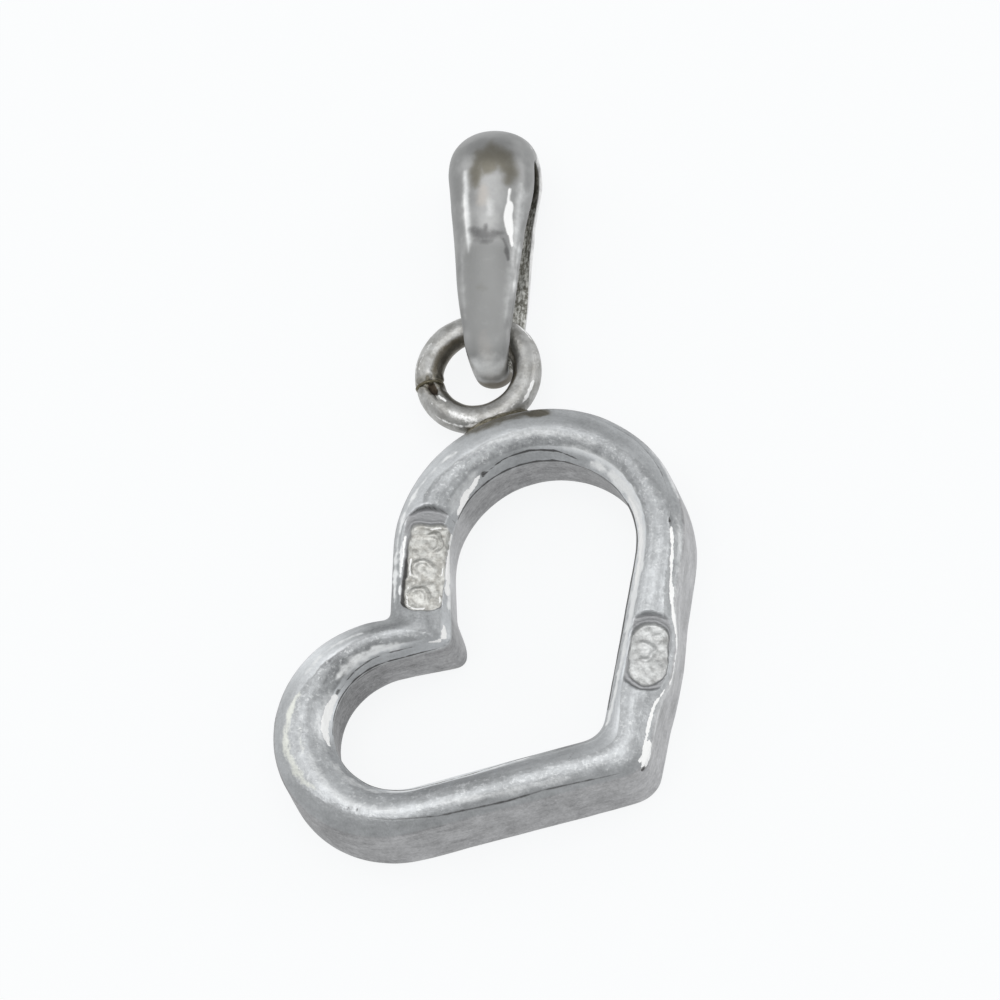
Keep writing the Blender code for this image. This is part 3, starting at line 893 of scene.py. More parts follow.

# Painted shade in dark lines along the inner edge, beside the long mark, and on the outer shoulder at the top and the
# bottom, each sunk a little into the surface
SHADE_STROKES = (
    Stroke(on_band((10.0, 1.1), (11.2, 1.09), (12.4, 1.12), (13.6, 1.2)), 0.022, 0.03, 0.6),
    Stroke(on_band((6.0, 1.91), (7.0, 1.86), (8.0, 1.85), (9.0, 1.87), (9.8, 1.93)), 0.016, 0.014),
    Stroke(
        on_band((4.2, 2.02), (5.0, 2.0), (9.3, 2.0), (10.0, 2.03), (12.0, 2.0), (15.0, 1.99)),
        0.024, 0.018, 1.0, 0.3,
    ),
    Stroke(on_band((12.6, 1.99), (16.0, 1.98), (17.5, 1.98), (19.0, 1.99), (20.4, 1.97)), 0.04, 0.02, 1.0, 0.4),
    Stroke(on_band((0.6, 1.34), (0.75, 1.28), (1.5, 1.27)), 0.045, 0.03),
    Stroke(on_band((1.5, 1.27), (3.1, 1.3)), 0.02, 0.02, 0.8),
    Stroke(
        on_band((21.8, 1.1), (24.0, 1.14), (25.0, 1.12), (27.0, 1.17), (28.0, 1.27), (29.0, 1.33)),
        0.03, 0.04, 0.75,
    ),
    Stroke(on_band((23.5, 1.99), (26.0, 1.92), (27.0, 1.91), (28.0, 1.95), (29.0, 1.99), (32.0, 2.0)), 0.02, 0.018),
    Stroke(on_band((34.3, 1.95), (35.3, 1.92), (37.6, 1.88)), 0.014, 0.014, 0.8),
    Stroke(on_band((32.6, 2.0), (37.9, 2.0)), 0.018, 0.016),
    Stroke(on_band((35.25, 2.07), (36.5, 2.05)), 0.06, 0.07, 0.75),
    Stroke(on_band((34.0, 2.08), (35.2, 2.09)), 0.05, 0.07, 0.45),
    Stroke(on_band((6.0, 1.89), (6.25, 1.88)), 0.05, 0.04, 0.7),
    Stroke(on_band((34.3, 1.93), (34.6, 1.92)), 0.05, 0.04, 0.7),
    Stroke(on_band((33.5, 1.46), (34.6, 1.5), (36.2, 1.48)), 0.02, 0.05, 0.3),
)

# Brown left by the soldering on the outer shoulder
STAIN_STROKES = (
    Stroke(on_band((6.3, 1.05), (7.0, 1.1), (7.6, 1.12), (8.2, 1.1)), 0.24, 0.18, 0.75),
    Stroke(on_band((8.1, 1.13), (8.55, 1.14)), 0.2, 0.16, 1.0, 0.4),
)

# Small dents and nicks, pushed in and painted dark as shade in them
PITS = (
    Stroke(on_band((13.85, 1.25), (14.0, 1.25)), 0.05, 0.03),
    Stroke(on_band((21.15, 0.94), (21.3, 0.91)), 0.08, 0.05),
    Stroke(on_band((22.35, 1.74), (22.75, 1.57)), 0.03, 0.05, 0.6),
    Stroke(on_band((29.35, 1.36), (29.42, 1.5)), 0.025, 0.03, 0.7),
    Stroke(on_band((29.65, 1.36), (29.7, 1.48)), 0.025, 0.03, 0.7),
    Stroke(on_band((15.5, 0.55), (15.65, 0.5)), 0.05, 0.04, 0.6),
)


@dataclass(frozen=True)
class Curl:
    """A soft worn curl on a panel's floor: its middle, its radius and the side it is raised on."""

    across: float
    along: float
    radius: float
    facing: float


class MarkPlaces(NamedTuple):
    """Where points lie on a mark: across and along it, and how far outside its filed flat and its panel."""

    across: np.ndarray
    along: np.ndarray
    from_flat: np.ndarray
    from_panel: np.ndarray


class MarkCover(NamedTuple):
    """What a mark gives the finish: its filed flat, its panel's floor, its painted shade outline and its painted
    highlight along the edge.
    """

    flat: np.ndarray
    floor: np.ndarray
    outline: np.ndarray
    glint: np.ndarray


@dataclass
class Mark:
    """A punched mark: a filed flat with a sunk panel in it, whose floor is worn to soft curls.

    Its length runs up the heart. Its lean turns it in plan and its tilt lowers its right side. The seed chooses its
    ragged patterns, and the shine says how strong its painted shade outline and painted highlight are.
    """

    place: Vector
    length: float
    width: float
    corner: float
    margin: float
    flat_rise: float
    flat_depth: float
    floor_depth: float
    lean: float
    tilt: float
    seed: int
    shine: float
    curls: tuple[Curl, ...]
    flat_corner: float = 0.8
    flat_soft: float = 0.05
    panel_soft: float = 0.03
    curl_height: float = 0.06
    curl_width: float = 0.12
    groove_offset: float = 0.1
    groove_width: float = 0.05
    lip_height: float = 0.015
    lip_width: float = 0.06
    rims: Unevenness = Unevenness(0.06, 0.34, 0.035, 0.13, 0, 5)
    bed: Unevenness = Unevenness(0.015, 0.4, 0.015, 0.15, 10, 10)

    def local(self, points: np.ndarray) -> tuple[np.ndarray, np.ndarray]:
        """Turn places on the heart into places on the mark.

        Args:
            points: Places in millimetres, one row each.

        Returns:
            Places across and along the panel, from its middle.
        """
        offset = points[:, :2] - np.array(self.place)
        cos, sin = math.cos(self.lean), math.sin(self.lean)
        return offset[:, 0] * cos + offset[:, 1] * sin, offset[:, 1] * cos - offset[:, 0] * sin

    def outside(self, across: np.ndarray, along: np.ndarray, grow: float, corner: float) -> np.ndarray:
        """Distance outside the panel's outline, negative inside it.

        Args:
            across: Places across the panel.
            along: Places along the panel.
            grow: How far the outline is moved outwards.
            corner: Radius of its corners.

        Returns:
            The distance of each place.
        """
        reach_x = np.abs(across) - (self.width / 2 + grow - corner)
        reach_y = np.abs(along) - (self.length / 2 + grow - corner)
        beyond = np.hypot(np.maximum(reach_x, 0.0), np.maximum(reach_y, 0.0))
        return beyond + np.minimum(np.maximum(reach_x, reach_y), 0.0) - corner

    def floor_relief(self, at: MarkPlaces, ragged: np.ndarray) -> tuple[np.ndarray, np.ndarray]:
        """The worn curls on the panel's floor.

        Args:
            at: Where the points lie on the mark.
            ragged: What the curls' rims wander by.

        Returns:
            How much they raise the floor, and where a shallow groove runs round them.
        """
        relief, groove = np.zeros((2, len(ragged)))
        for curl in self.curls:
            away = np.hypot(at.across - curl.across, at.along - curl.along) + 0.8 * ragged
            turn = np.arctan2(at.along - curl.along, at.across - curl.across)
            arc = ramp(-0.7, 0.3, np.cos(turn - curl.facing))
            relief += self.curl_height * arc * hump(away, curl.radius, self.curl_width)
            groove = np.maximum(groove, arc * hump(away, curl.radius + self.groove_offset, self.groove_width))
        return relief, groove

    def outline(self, points: np.ndarray, at: MarkPlaces, low: np.ndarray) -> np.ndarray:
        """Painted shade: round the panel, in the floor's grooves and at the upper rim of the flat.

        Args:
            points: The heart's points.
            at: Where they lie on the mark.
            low: Where the floor's grooves are.

        Returns:
            0 to 1.
        """
        rim = 0.6 * hump(at.from_flat, 0.0, 0.05) * ramp(0.2, 0.8, at.along / self.length + 0.4) * self.shine
        left = ramp(-0.2, -0.5, at.across) * ramp(0.5, 0.0, at.along) * self.shine
        breadth = 0.035 + 0.06 * left
        edge = (0.45 + 0.55 * left) * (1 - ramp(0.0, 1.0, np.abs(at.from_panel - 0.01) / breadth))
        edge *= 1 - (1 - self.shine) * ramp(0.3, -0.3, lumps(points, 0.5, self.seed + 40))
        return np.maximum(np.maximum(edge, low * (0.3 + 0.25 * self.shine)), rim)

    def glint(self, points: np.ndarray, at: MarkPlaces, panel: np.ndarray) -> np.ndarray:
        """A painted highlight along the panel's edge, inside it and beside its upper half.

        Args:
            points: The heart's points.
            at: Where they lie on the mark.
            panel: 1 on the panel.

        Returns:
            0 to 1.
        """
        within = panel * hump(at.from_panel, -0.1, 0.05) * ramp(-0.1, 0.4, lumps(points, 0.3, self.seed + 30))
        share = at.along / self.length
        beside = ramp(-0.3, 0.1, share) * (1 - ramp(0.3, 0.4, share)) * ramp(0.3, 0.45, np.abs(at.across))
        return np.maximum(within, hump(at.from_panel, 0.13, 0.07) * beside)

    def cut(self, points: np.ndarray, top: np.ndarray, crown: float) -> MarkCover:
        """File the flat and sink the panel.

        Args:
            points: The heart's points, which are moved.
            top: 1 on the dome and its chamfers.
            crown: Height of the dome's crown.

        Returns:
            What the mark gives the finish.
        """
        across, along = self.local(points)
        slope = math.tan(self.tilt) * across
        ragged = self.rims.reseeded(self.seed).on(points)
        at = MarkPlaces(
            across, along,
            from_flat=self.outside(across, along - self.flat_rise, self.margin, self.flat_corner) + 0.4 * ragged,
            from_panel=self.outside(across, along, 0.0, self.corner) + 0.7 * ragged,
        )
        filed = (1 - ramp(-self.flat_soft, self.flat_soft, at.from_flat)) * top
        level = np.minimum(points[:, 2], crown - self.flat_depth - slope)
        flat = filed * ramp(0.01, 0.05, points[:, 2] - level)
        points[:, 2] += filed * (level - points[:, 2])
        panel = (1 - ramp(-self.panel_soft, self.panel_soft, at.from_panel)) * top
        relief, groove = self.floor_relief(at, ragged)
        relief += self.bed.reseeded(self.seed).on(points)
        floor = crown - self.floor_depth - slope + relief
        points[:, 2] += panel * (np.minimum(points[:, 2], floor) - points[:, 2])
        points[:, 2] += self.lip_height * hump(at.from_panel, self.lip_width, self.lip_width) * top
        outline = self.outline(points, at, panel * groove) * top
        glint = self.glint(points, at, panel) * top
        return MarkCover(flat * (1 - panel) * (1 - glint), panel, outline, self.shine * glint)


@dataclass
class Heart:
    """The cast heart band, its filed shoulders and its two punched marks.

    The long mark is placed by its inset from the upper lobe's left edge and its drop below the lobe's middle, the oval
    mark by its drop along the right side from the lobe, its inset from that side and its shift in plan.
    """

    plan: HeartPlan = field(default_factory=HeartPlan)
    wall_height: float = 2.35
    dome_rise: float = 0.32
    outer_chamfer: float = 0.16
    outer_drop: float = 0.14
    inner_chamfer: float = 0.26
    inner_drop: float = 0.34
    back_bevel: float = 0.1
    back_flare: float = 0.05
    window_draft: float = 0.15
    nose_foot: float = 0.3
    oval_swell: float = 0.28
    swell_along: float = 18.0
    swell_reach: float = 1.9
    swell_top: float = 0.3
    long_inset: float = 1.08
    long_drop: float = 0.69
    oval_inset: float = 0.8
    oval_drop: float = 3.5
    oval_shift: tuple[float, float] = (0.31, 0.15)
    stations: int = 146
    plan_step: float = 0.02
    wall_steps: int = 5
    dome_shares: tuple[float, ...] = (0.0, 0.04, 0.11, 0.2, 0.3, 0.4, 0.5, 0.6, 0.7, 0.8, 0.89, 0.96, 1.0)
    chamfer_shares: tuple[float, ...] = (0.15, 0.5, 0.85, 1.0)
    back_shares: tuple[float, ...] = (0.75, 0.5, 0.25)
    shoulder_support: float = 0.04
    casting: Unevenness = Unevenness(0.012, 1.3, 0.005, 0.45, 1)
    rims: Unevenness = Unevenness(0.02, 0.25, 0.014, 0.1, 31)
    pit_depth: float = 0.05
    line_depth: float = 0.008
    grain_depth: float = 0.008
    oval_grey: float = 0.55
    length: float = field(init=False, default=0.0)

    def __post_init__(self) -> None:
        """Place the two marks."""
        plan = self.plan
        right = plan.right_normal()
        start = plan.upper + plan.upper_lobe * right
        side = (plan.tip + plan.tip_radius * right - start).normalized()
        self.long_mark = Mark(
            place=plan.upper + Vector((self.long_inset - plan.upper_lobe, -self.long_drop)),
            length=2.84, width=1.17, corner=0.24, margin=0.28, flat_rise=0.19, flat_depth=0.3, floor_depth=0.42,
            lean=math.radians(-3.5), tilt=math.radians(9), seed=3, shine=1.0,
            curls=(Curl(0.08, 0.85, 0.27, 0.4), Curl(-0.1, -0.05, 0.27, 2.2), Curl(-0.1, -0.92, 0.25, 1.2)),
        )
        self.oval_mark = Mark(
            place=start + self.oval_drop / -side.y * side - self.oval_inset * right + Vector(self.oval_shift),
            length=2.0, width=1.16, corner=0.56, margin=0.24, flat_rise=0.03, flat_depth=0.26, floor_depth=0.38,
            lean=math.radians(-3), tilt=math.radians(8), seed=4, shine=0.35, curls=(Curl(-0.2, 0.1, 0.3, 0.1),),
        )

    def profile(self) -> list[tuple[float, float, float, float]]:
        """The section's points from the outer foot over the dome and back underneath.

        Returns:
            For each point its place across the band, its share of the band's width, what is added to that in
            millimetres, and its height.
        """
        crest, support = self.wall_height, self.shoulder_support
        shoulder = crest - self.outer_drop
        edge = crest - self.inner_drop
        points = [
            (0.0, 0.0, self.back_bevel - self.back_flare, 0.0),
            (OUTER_WALL[0], 0.0, -self.back_flare, self.back_bevel),
        ]
        for step in range(1, self.wall_steps + 1):
            share = step / (self.wall_steps + 0.4)
            height = self.back_bevel + share * (shoulder - self.back_bevel)
            points.append((part_way(OUTER_WALL, share), 0.0, -self.back_flare * (1 - share), height))
        points += [
            (0.985, 0.0, 0.0, shoulder - support),
            (OUTER_WALL[1], 0.0, 0.1 * support, shoulder),
            (1.03, 0.0, support, shoulder + 0.9 * support),
            (1.08, 0.0, self.outer_chamfer - support, crest - 0.8 * support),
        ]
        for share in self.dome_shares:
            rise = self.dome_rise * (1 - (2 * share - 1) ** 2)
            edges = self.outer_chamfer + self.inner_chamfer
            points.append((part_way(DOME, share), share, self.outer_chamfer - share * edges, crest + rise))
        for share in self.chamfer_shares:
            reach = self.inner_chamfer * (1 - share)
            points.append((part_way(INNER_CHAMFER, share), 1.0, -reach, crest - self.inner_drop * share))
        points.append((WINDOW_WALL[0], 1.0, 0.0, edge - support))
        for step in range(self.wall_steps - 1, -1, -1):
            share = step / self.wall_steps
            height = self.back_bevel + share * (edge - self.back_bevel)
            points.append((part_way(WINDOW_WALL, 1 - share), 1.0, -self.window_draft * (1 - share), height))
        foot = self.window_draft + self.back_bevel
        points.append((BACK[0], 1.0, -foot, 0.0))
        for share in self.back_shares:
            inset = (1 - share) * (self.back_bevel - self.back_flare) - share * foot
            points.append((part_way(BACK, 1 - share), share, inset, 0.0))
        return points

    def density(self, outside: np.ndarray, inside: np.ndarray) -> np.ndarray:
        """How much closer together the stations stand at the marks, round the cleft and at the tip.

        Args:
            outside: The band's outer points.
            inside: The window's points.

        Returns:
            1 on plain stretches, and more where there is more to show.
        """
        flat = np.column_stack([(outside + inside) / 2, np.zeros(len(outside))])
        dense = np.ones(len(outside))
        for mark in (self.long_mark, self.oval_mark):
            across, along = mark.local(flat)
            dense += 1.1 * (1 - ramp(0.1, 0.5, mark.outside(across, along, mark.margin, mark.flat_corner)))
        for corner, extra, reach in ((self.plan.root, 2.0, 1.2), (self.plan.tip, 0.6, 1.6)):
            for side in (outside, inside):
                dense += extra * (1 - ramp(0.3, reach, np.linalg.norm(side - np.array(corner), axis=1)))
        return dense

    def spread(self) -> tuple[np.ndarray, np.ndarray, np.ndarray]:
        """Place the stations, and measure the band's length on the way.

        Returns:
            Outer points, window points and how far along the band each station is.
        """
        outside, inside = self.plan.pairs(self.plan_step)
        middle = (outside + inside) / 2
        steps = np.linalg.norm(np.roll(middle, -1, axis=0) - middle, axis=1)
        weighed = np.concatenate([[0.0], np.cumsum(steps * self.density(outside, inside))])
        plain = np.concatenate([[0.0], np.cumsum(steps)])
        self.length = plain[-1]
        wanted = weighed[-1] * np.arange(self.stations) / self.stations
        picked = []
        for side in (outside, inside):
            closed = np.vstack([side, side[:1]])
            picked.append(np.stack([np.interp(wanted, weighed, closed[:, axis]) for axis in range(2)], axis=1))
        return picked[0], picked[1], np.interp(wanted, weighed, plain)

    def model(self) -> bpy.types.Object:
        """Extrude the section round the heart and round it off.

        Returns:
            The plain band.
        """
        outside, inside, along = self.spread()
        width = np.linalg.norm(inside - outside, axis=1)
        across = (inside - outside) / width[:, None]
        profile = np.array(self.profile())
        reach = width[:, None] * profile[None, :, 1] + profile[None, :, 2]
        rows = np.zeros((len(outside), len(profile), 3))
        rows[:, :, :2] = outside[:, None, :] + reach[:, :, None] * across[:, None, :]
        rows[:, :, 2] = profile[None, :, 3]
        marks = turn_marks(FULL_TURN * along / self.length, len(profile))
        marks["place"] = np.tile(profile[:, 0], (len(outside), 1))
        piece = extruded_loop("heart_band", rows, marks)
        subdivide(piece, 2)
        return piece

    def swell(self, surface: Surface, place: np.ndarray, along: np.ndarray) -> None:
        """Push the shoulder outwards beside the oval mark, as the punch did.

        Args:
            surface: The heart's points.
            place: Their places across the band.
            along: How far along the band they are.
        """
        high = ramp(-0.05, 0.05, place) * (0.4 + 0.6 * ramp(0.3, 0.95, place)) * (1 - ramp(1.05, 1.45, place))
        near = ramp(self.swell_reach, self.swell_top, np.abs(along - self.swell_along))
        amount = self.oval_swell * high * near
        surface.points[:, :2] += amount[:, None] * np.array(self.plan.right_normal())

    def splay_nose(self, surface: Surface, place: np.ndarray) -> None:
        """Draw the foot of the window's wall out below the cleft's nose.

        Args:
            surface: The heart's points.
            place: Their places across the band.
        """
        beside = np.linalg.norm(surface.points[:, :2] - np.array(self.plan.nose), axis=1)
        foot = (1 - ramp(0.2, 1.3, beside)) * between(place, 2.05, 3.3, 0.1)
        surface.points[:, 0] += self.nose_foot * foot * (1 - surface.points[:, 2] / self.wall_height)

    def sculpt(self, piece: bpy.types.Object) -> None:
        """Give the casting its wear and its marks, and paint where each finish goes, painted light and shade among
        them.

        Args:
            piece: The plain band.
        """
        surface = Surface(piece)
        place = np.where(surface.points[:, 2] < BACK_HEIGHT, UNDERNEATH, surface.kept("place"))
        along = surface.run(self.length)
        top = between(place, 1.0, 2.1, 0.02)
        surface.push(self.casting.on(surface.points))
        self.swell(surface, place, along)
        self.splay_nose(surface, place)
        crown = self.wall_height + self.dome_rise
        covers = [mark.cut(surface.points, top, crown) for mark in (self.long_mark, self.oval_mark)]
        marks = MarkCover(*(np.maximum(*pair) for pair in zip(*covers)))
        across = place * BAND_WIDTH
        wander = self.rims.on(surface.points)
        bright, dark, pits, pale, cream, stain = (
            strokes_on(strokes, along, across, ragged * wander)
            for strokes, ragged in (
                (HIGHLIGHT_STROKES, 1.4), (SHADE_STROKES, 0.5), (PITS, 1.0),
                (SHEEN_STROKES, 3.0), (CREAM_HIGHLIGHT_STROKES, 3.0), (STAIN_STROKES, 3.0),
            )
        )
        surface.push(-self.pit_depth * pits - self.line_depth * dark)
        surface.hand_back()
        self.paint_light_and_shade(surface, place, along)
        surface.paint("wall", between(place, -1.0, 1.03, 0.02) + between(place, 2.02, 3.0, 0.02))
        # Painted highlights: the highlight strokes and the glinting edges of the marks
        surface.paint("bright", np.maximum(bright * (1 - marks.floor), marks.glint))
        # Painted sheen, kept off the filed flats
        surface.paint("pale", pale * (1 - marks.flat))
        surface.paint("cream", cream)
        # Painted shade: the dark lines, the marks' outlines and the pits
        surface.paint("dark", np.maximum(np.maximum(dark * (1 - marks.floor), marks.outline), pits))
        surface.paint("stain", stain)
        surface.paint("flat", marks.flat)
        surface.paint("floor", marks.floor - self.oval_grey * covers[1].floor)

    def run_of(self, table: Sequence[tuple[float, ...]], along: np.ndarray) -> list[np.ndarray]:
        """Read a table of values along the band.

        Args:
            table: Rows that start with how far along the band they are.
            along: How far along the band the points are.

        Returns:
            Each further column, at the points.
        """
        keys = np.array(table)
        return [np.interp(along, keys[:, 0], column, period=self.length) for column in keys[:, 1:].T]

    def paint_light_and_shade(self, surface: Surface, place: np.ndarray, along: np.ndarray) -> None:
        """Paint light and shade: where the ridge's sheen is, how light it is, and how light the silver is elsewhere.

        Args:
            surface: The heart's points.
            place: Their places across the band.
            along: How far along the band they are.
        """
        low, high = self.run_of(RIDGE_SHEEN_RUN, along)
        surface.paint("ridge", ramp(-0.09, 0.09, place - low) * (1 - ramp(-0.07, 0.07, place - high)))
        wall, slope, ridge, inner, chamfer, window = self.run_of(PAINTED_LIGHT_RUN, along)
        level = wall
        for tone, where, start, end in (
            (slope, place, 0.97, 1.04), (inner, place - (low + high) / 2, -0.1, 0.1),
            (chamfer, place, 1.84, 1.88), (window, place, 1.98, 2.03),
        ):
            level = level + ramp(start, end, where) * (tone - level)
        surface.paint("painted_light", level)
        surface.paint("ridge_painted_light", ridge)

    def finish(self) -> Finish:
        """Cast silver with painted light and shade: pale streaked ridge, grey slopes and walls, dark lines beside the
        inner chamfer.

        Returns:
            The finish.
        """
        finish = Finish("cast_heart_silver")
        cloud = finish.grain(0.7, 3.0)
        fine = finish.grain(0.08, 3.0, 0.6)
        patch = finish.grain(0.28, 2.0)
        speck = finish.grain(0.16, 3.0, 0.75)
        streak = finish.streaks(self.length, 0.7, finish.painted("place") * BAND_WIDTH, 0.1)
        wall = finish.painted("wall")
        dome = 1.0 - wall
        # Painted light and shade: the silver's tone zone by zone, lighter on its ridge as a painted sheen
        ridge = finish.ragged("ridge", (0.3, 0.65), (streak, 0.6), (speck, 0.5), (patch, 0.5)) * dome
        grain = cloud.swing(0.35) + streak.swing(0.35) * (1.0 - 0.3 * wall) + speck.swing(0.3)
        level = finish.painted("painted_light") + 0.5 * grain * (1.0 + 0.9 * wall) + fine.swing(0.12)
        crest = finish.painted("ridge_painted_light") + 0.6 * grain + patch.swing(0.25) + fine.swing(0.15)
        level = level + ridge * (crest - level)
        colour = finish.blend(level, NO_SILVER, finish.blend(wall, DOME_SILVER, WALL_SILVER))
        # Painted sheen: pale runs, with flecks along the ridge
        pale = finish.painted("pale") * (1.0 + streak.swing(0.8) + speck.swing(1.0))
        pale = pale.step(0.0, 0.9).at_least(0.3 * (speck.step(0.55, 0.68) * ridge))
        colour = finish.blend(pale, colour, SHEEN_SILVER)
        # A painted highlight in cream on the lower lobe
        cream = finish.ragged("cream", (0.3, 0.8), (streak, 0.7), (fine, 0.5)) * 0.7
        colour = finish.blend(cream, colour, CREAM_HIGHLIGHT)
        # The marks
        colour = finish.blend(finish.painted("flat"), colour, FLAT_SILVER)
        floor = finish.blend((0.6 * speck + 0.4 * patch).step(0.35, 0.6), FLOOR_LOW, FLOOR_HIGH)
        colour = finish.blend(finish.painted("floor"), colour, floor)
        # Painted highlights, the brown stain, and painted shade in lines, outlines and pits
        bright = finish.ragged("bright", (0.35, 0.55), (fine, 1.1))
        colour = finish.blend(bright, colour, HIGHLIGHT_WHITE)
        stain = finish.ragged("stain", (0.2, 0.9), (patch, 0.5), (fine, 0.4)) * 0.9
        colour = finish.blend(stain, colour, STAIN_BROWN)
        dark = finish.ragged("dark", (0.3, 0.8), (fine, 0.4)) * 0.85
        colour = finish.blend(dark, colour, SHADE_LINE)
        roughness = 0.4 + 0.08 * cloud + 0.1 * wall
        relief = fine + 0.8 * speck + 0.4 * streak * dome
        finish.done(colour, roughness, relief, self.grain_depth, (0.95 * bright).at_least(0.8 * pale))
        return finish

    def build(self, shift: Vector) -> None:
        """Make the whole heart.

        Args:
            shift: Where the lower lobe's middle is in the frame, in metres.
        """
        piece = self.model()
        self.sculpt(piece)
        self.finish().dress(piece)
        settle(piece, Body.HEART_AND_RING, "heart", shift)


# ---------------------------------------------------------------- ring and solder

# Colours of the ring and its solder
RING_LOW = (0.33, 0.325, 0.31)
RING_HIGH = (0.52, 0.52, 0.51)
RING_BROWN = (0.145, 0.128, 0.095)
# Black for the butt joint's cracks and for the painted shade line round the inner edge
RING_BLACK = (0.05, 0.04, 0.03)
SOLDER_DARK = (0.14, 0.125, 0.085)
SOLDER_PALE = (0.4, 0.37, 0.3)

# Painted highlights, stains and dark marks on the ring: degrees round the ring from the right, and degrees round its
# wire from the outside over the top
RING_HIGHLIGHTS = (
    Stroke(((328.0, 40.0), (336.0, 44.0), (346.0, 42.0)), 0.06, 0.06),
    Stroke(((346.0, 40.0), (2.0, 30.0)), 0.02, 0.04, 0.7),
    Stroke(((144.0, 66.0), (158.0, 66.0), (172.0, 54.0)), 0.05, 0.12, 0.45),
    Stroke(((168.0, 55.0), (178.0, 55.0)), 0.04, 0.05, 0.5),
    Stroke(((20.0, 45.0), (4.0, 40.0)), 0.03, 0.08, 0.5),
    Stroke(((212.0, 62.0), (222.0, 66.0)), 0.04, 0.06, 0.6),
    Stroke(((218.0, 108.0), (230.0, 112.0)), 0.03, 0.04, 0.9),
    Stroke(((236.0, 84.0), (252.0, 78.0), (268.0, 66.0)), 0.09, 0.14, 0.6),
    Stroke(((292.0, 66.0), (306.0, 62.0), (322.0, 62.0)), 0.06, 0.12, 0.4),
    Stroke(((266.0, 45.0), (276.0, 40.0)), 0.05, 0.06, 0.7),
    Stroke(((258.0, 74.0), (266.0, 70.0), (274.0, 62.0)), 0.08, 0.14, 0.5),
)
RING_STAIN = (
    Stroke(((118.0, 140.0), (150.0, 125.0), (180.0, 122.0), (196.0, 120.0)), 0.14, 0.14, 0.75),
    Stroke(((186.0, 95.0), (200.0, 85.0), (212.0, 84.0)), 0.17, 0.14, 0.8),
    Stroke(((286.0, 12.0), (298.0, 34.0), (308.0, 24.0)), 0.12, 0.14, 0.8),
    Stroke(((254.0, 16.0), (284.0, 14.0)), 0.06, 0.06, 0.5),
    Stroke(((335.0, 130.0), (358.0, 130.0)), 0.08, 0.08, 0.8),
)
# Dark at the butt joint and its cracks, and painted shade in a line round the ring's inner edge
RING_DARK = (
    Stroke(((194.0, 104.0), (201.0, 100.0), (212.0, 104.0)), 0.16, 0.1, 1.0),
    Stroke(((186.0, 116.0), (200.0, 100.0)), 0.04, 0.04, 0.9),
    Stroke(((194.0, 55.0), (199.0, 80.0)), 0.03, 0.04, 0.8),
    Stroke(((208.0, 96.0), (222.0, 92.0)), 0.02, 0.03, 0.7),
    Stroke(((168.0, 118.0), (180.0, 108.0)), 0.02, 0.03, 0.6),
    Stroke(((206.0, 178.0), (240.0, 172.0), (280.0, 172.0), (320.0, 176.0)), 0.03, 0.04, 0.6),
)


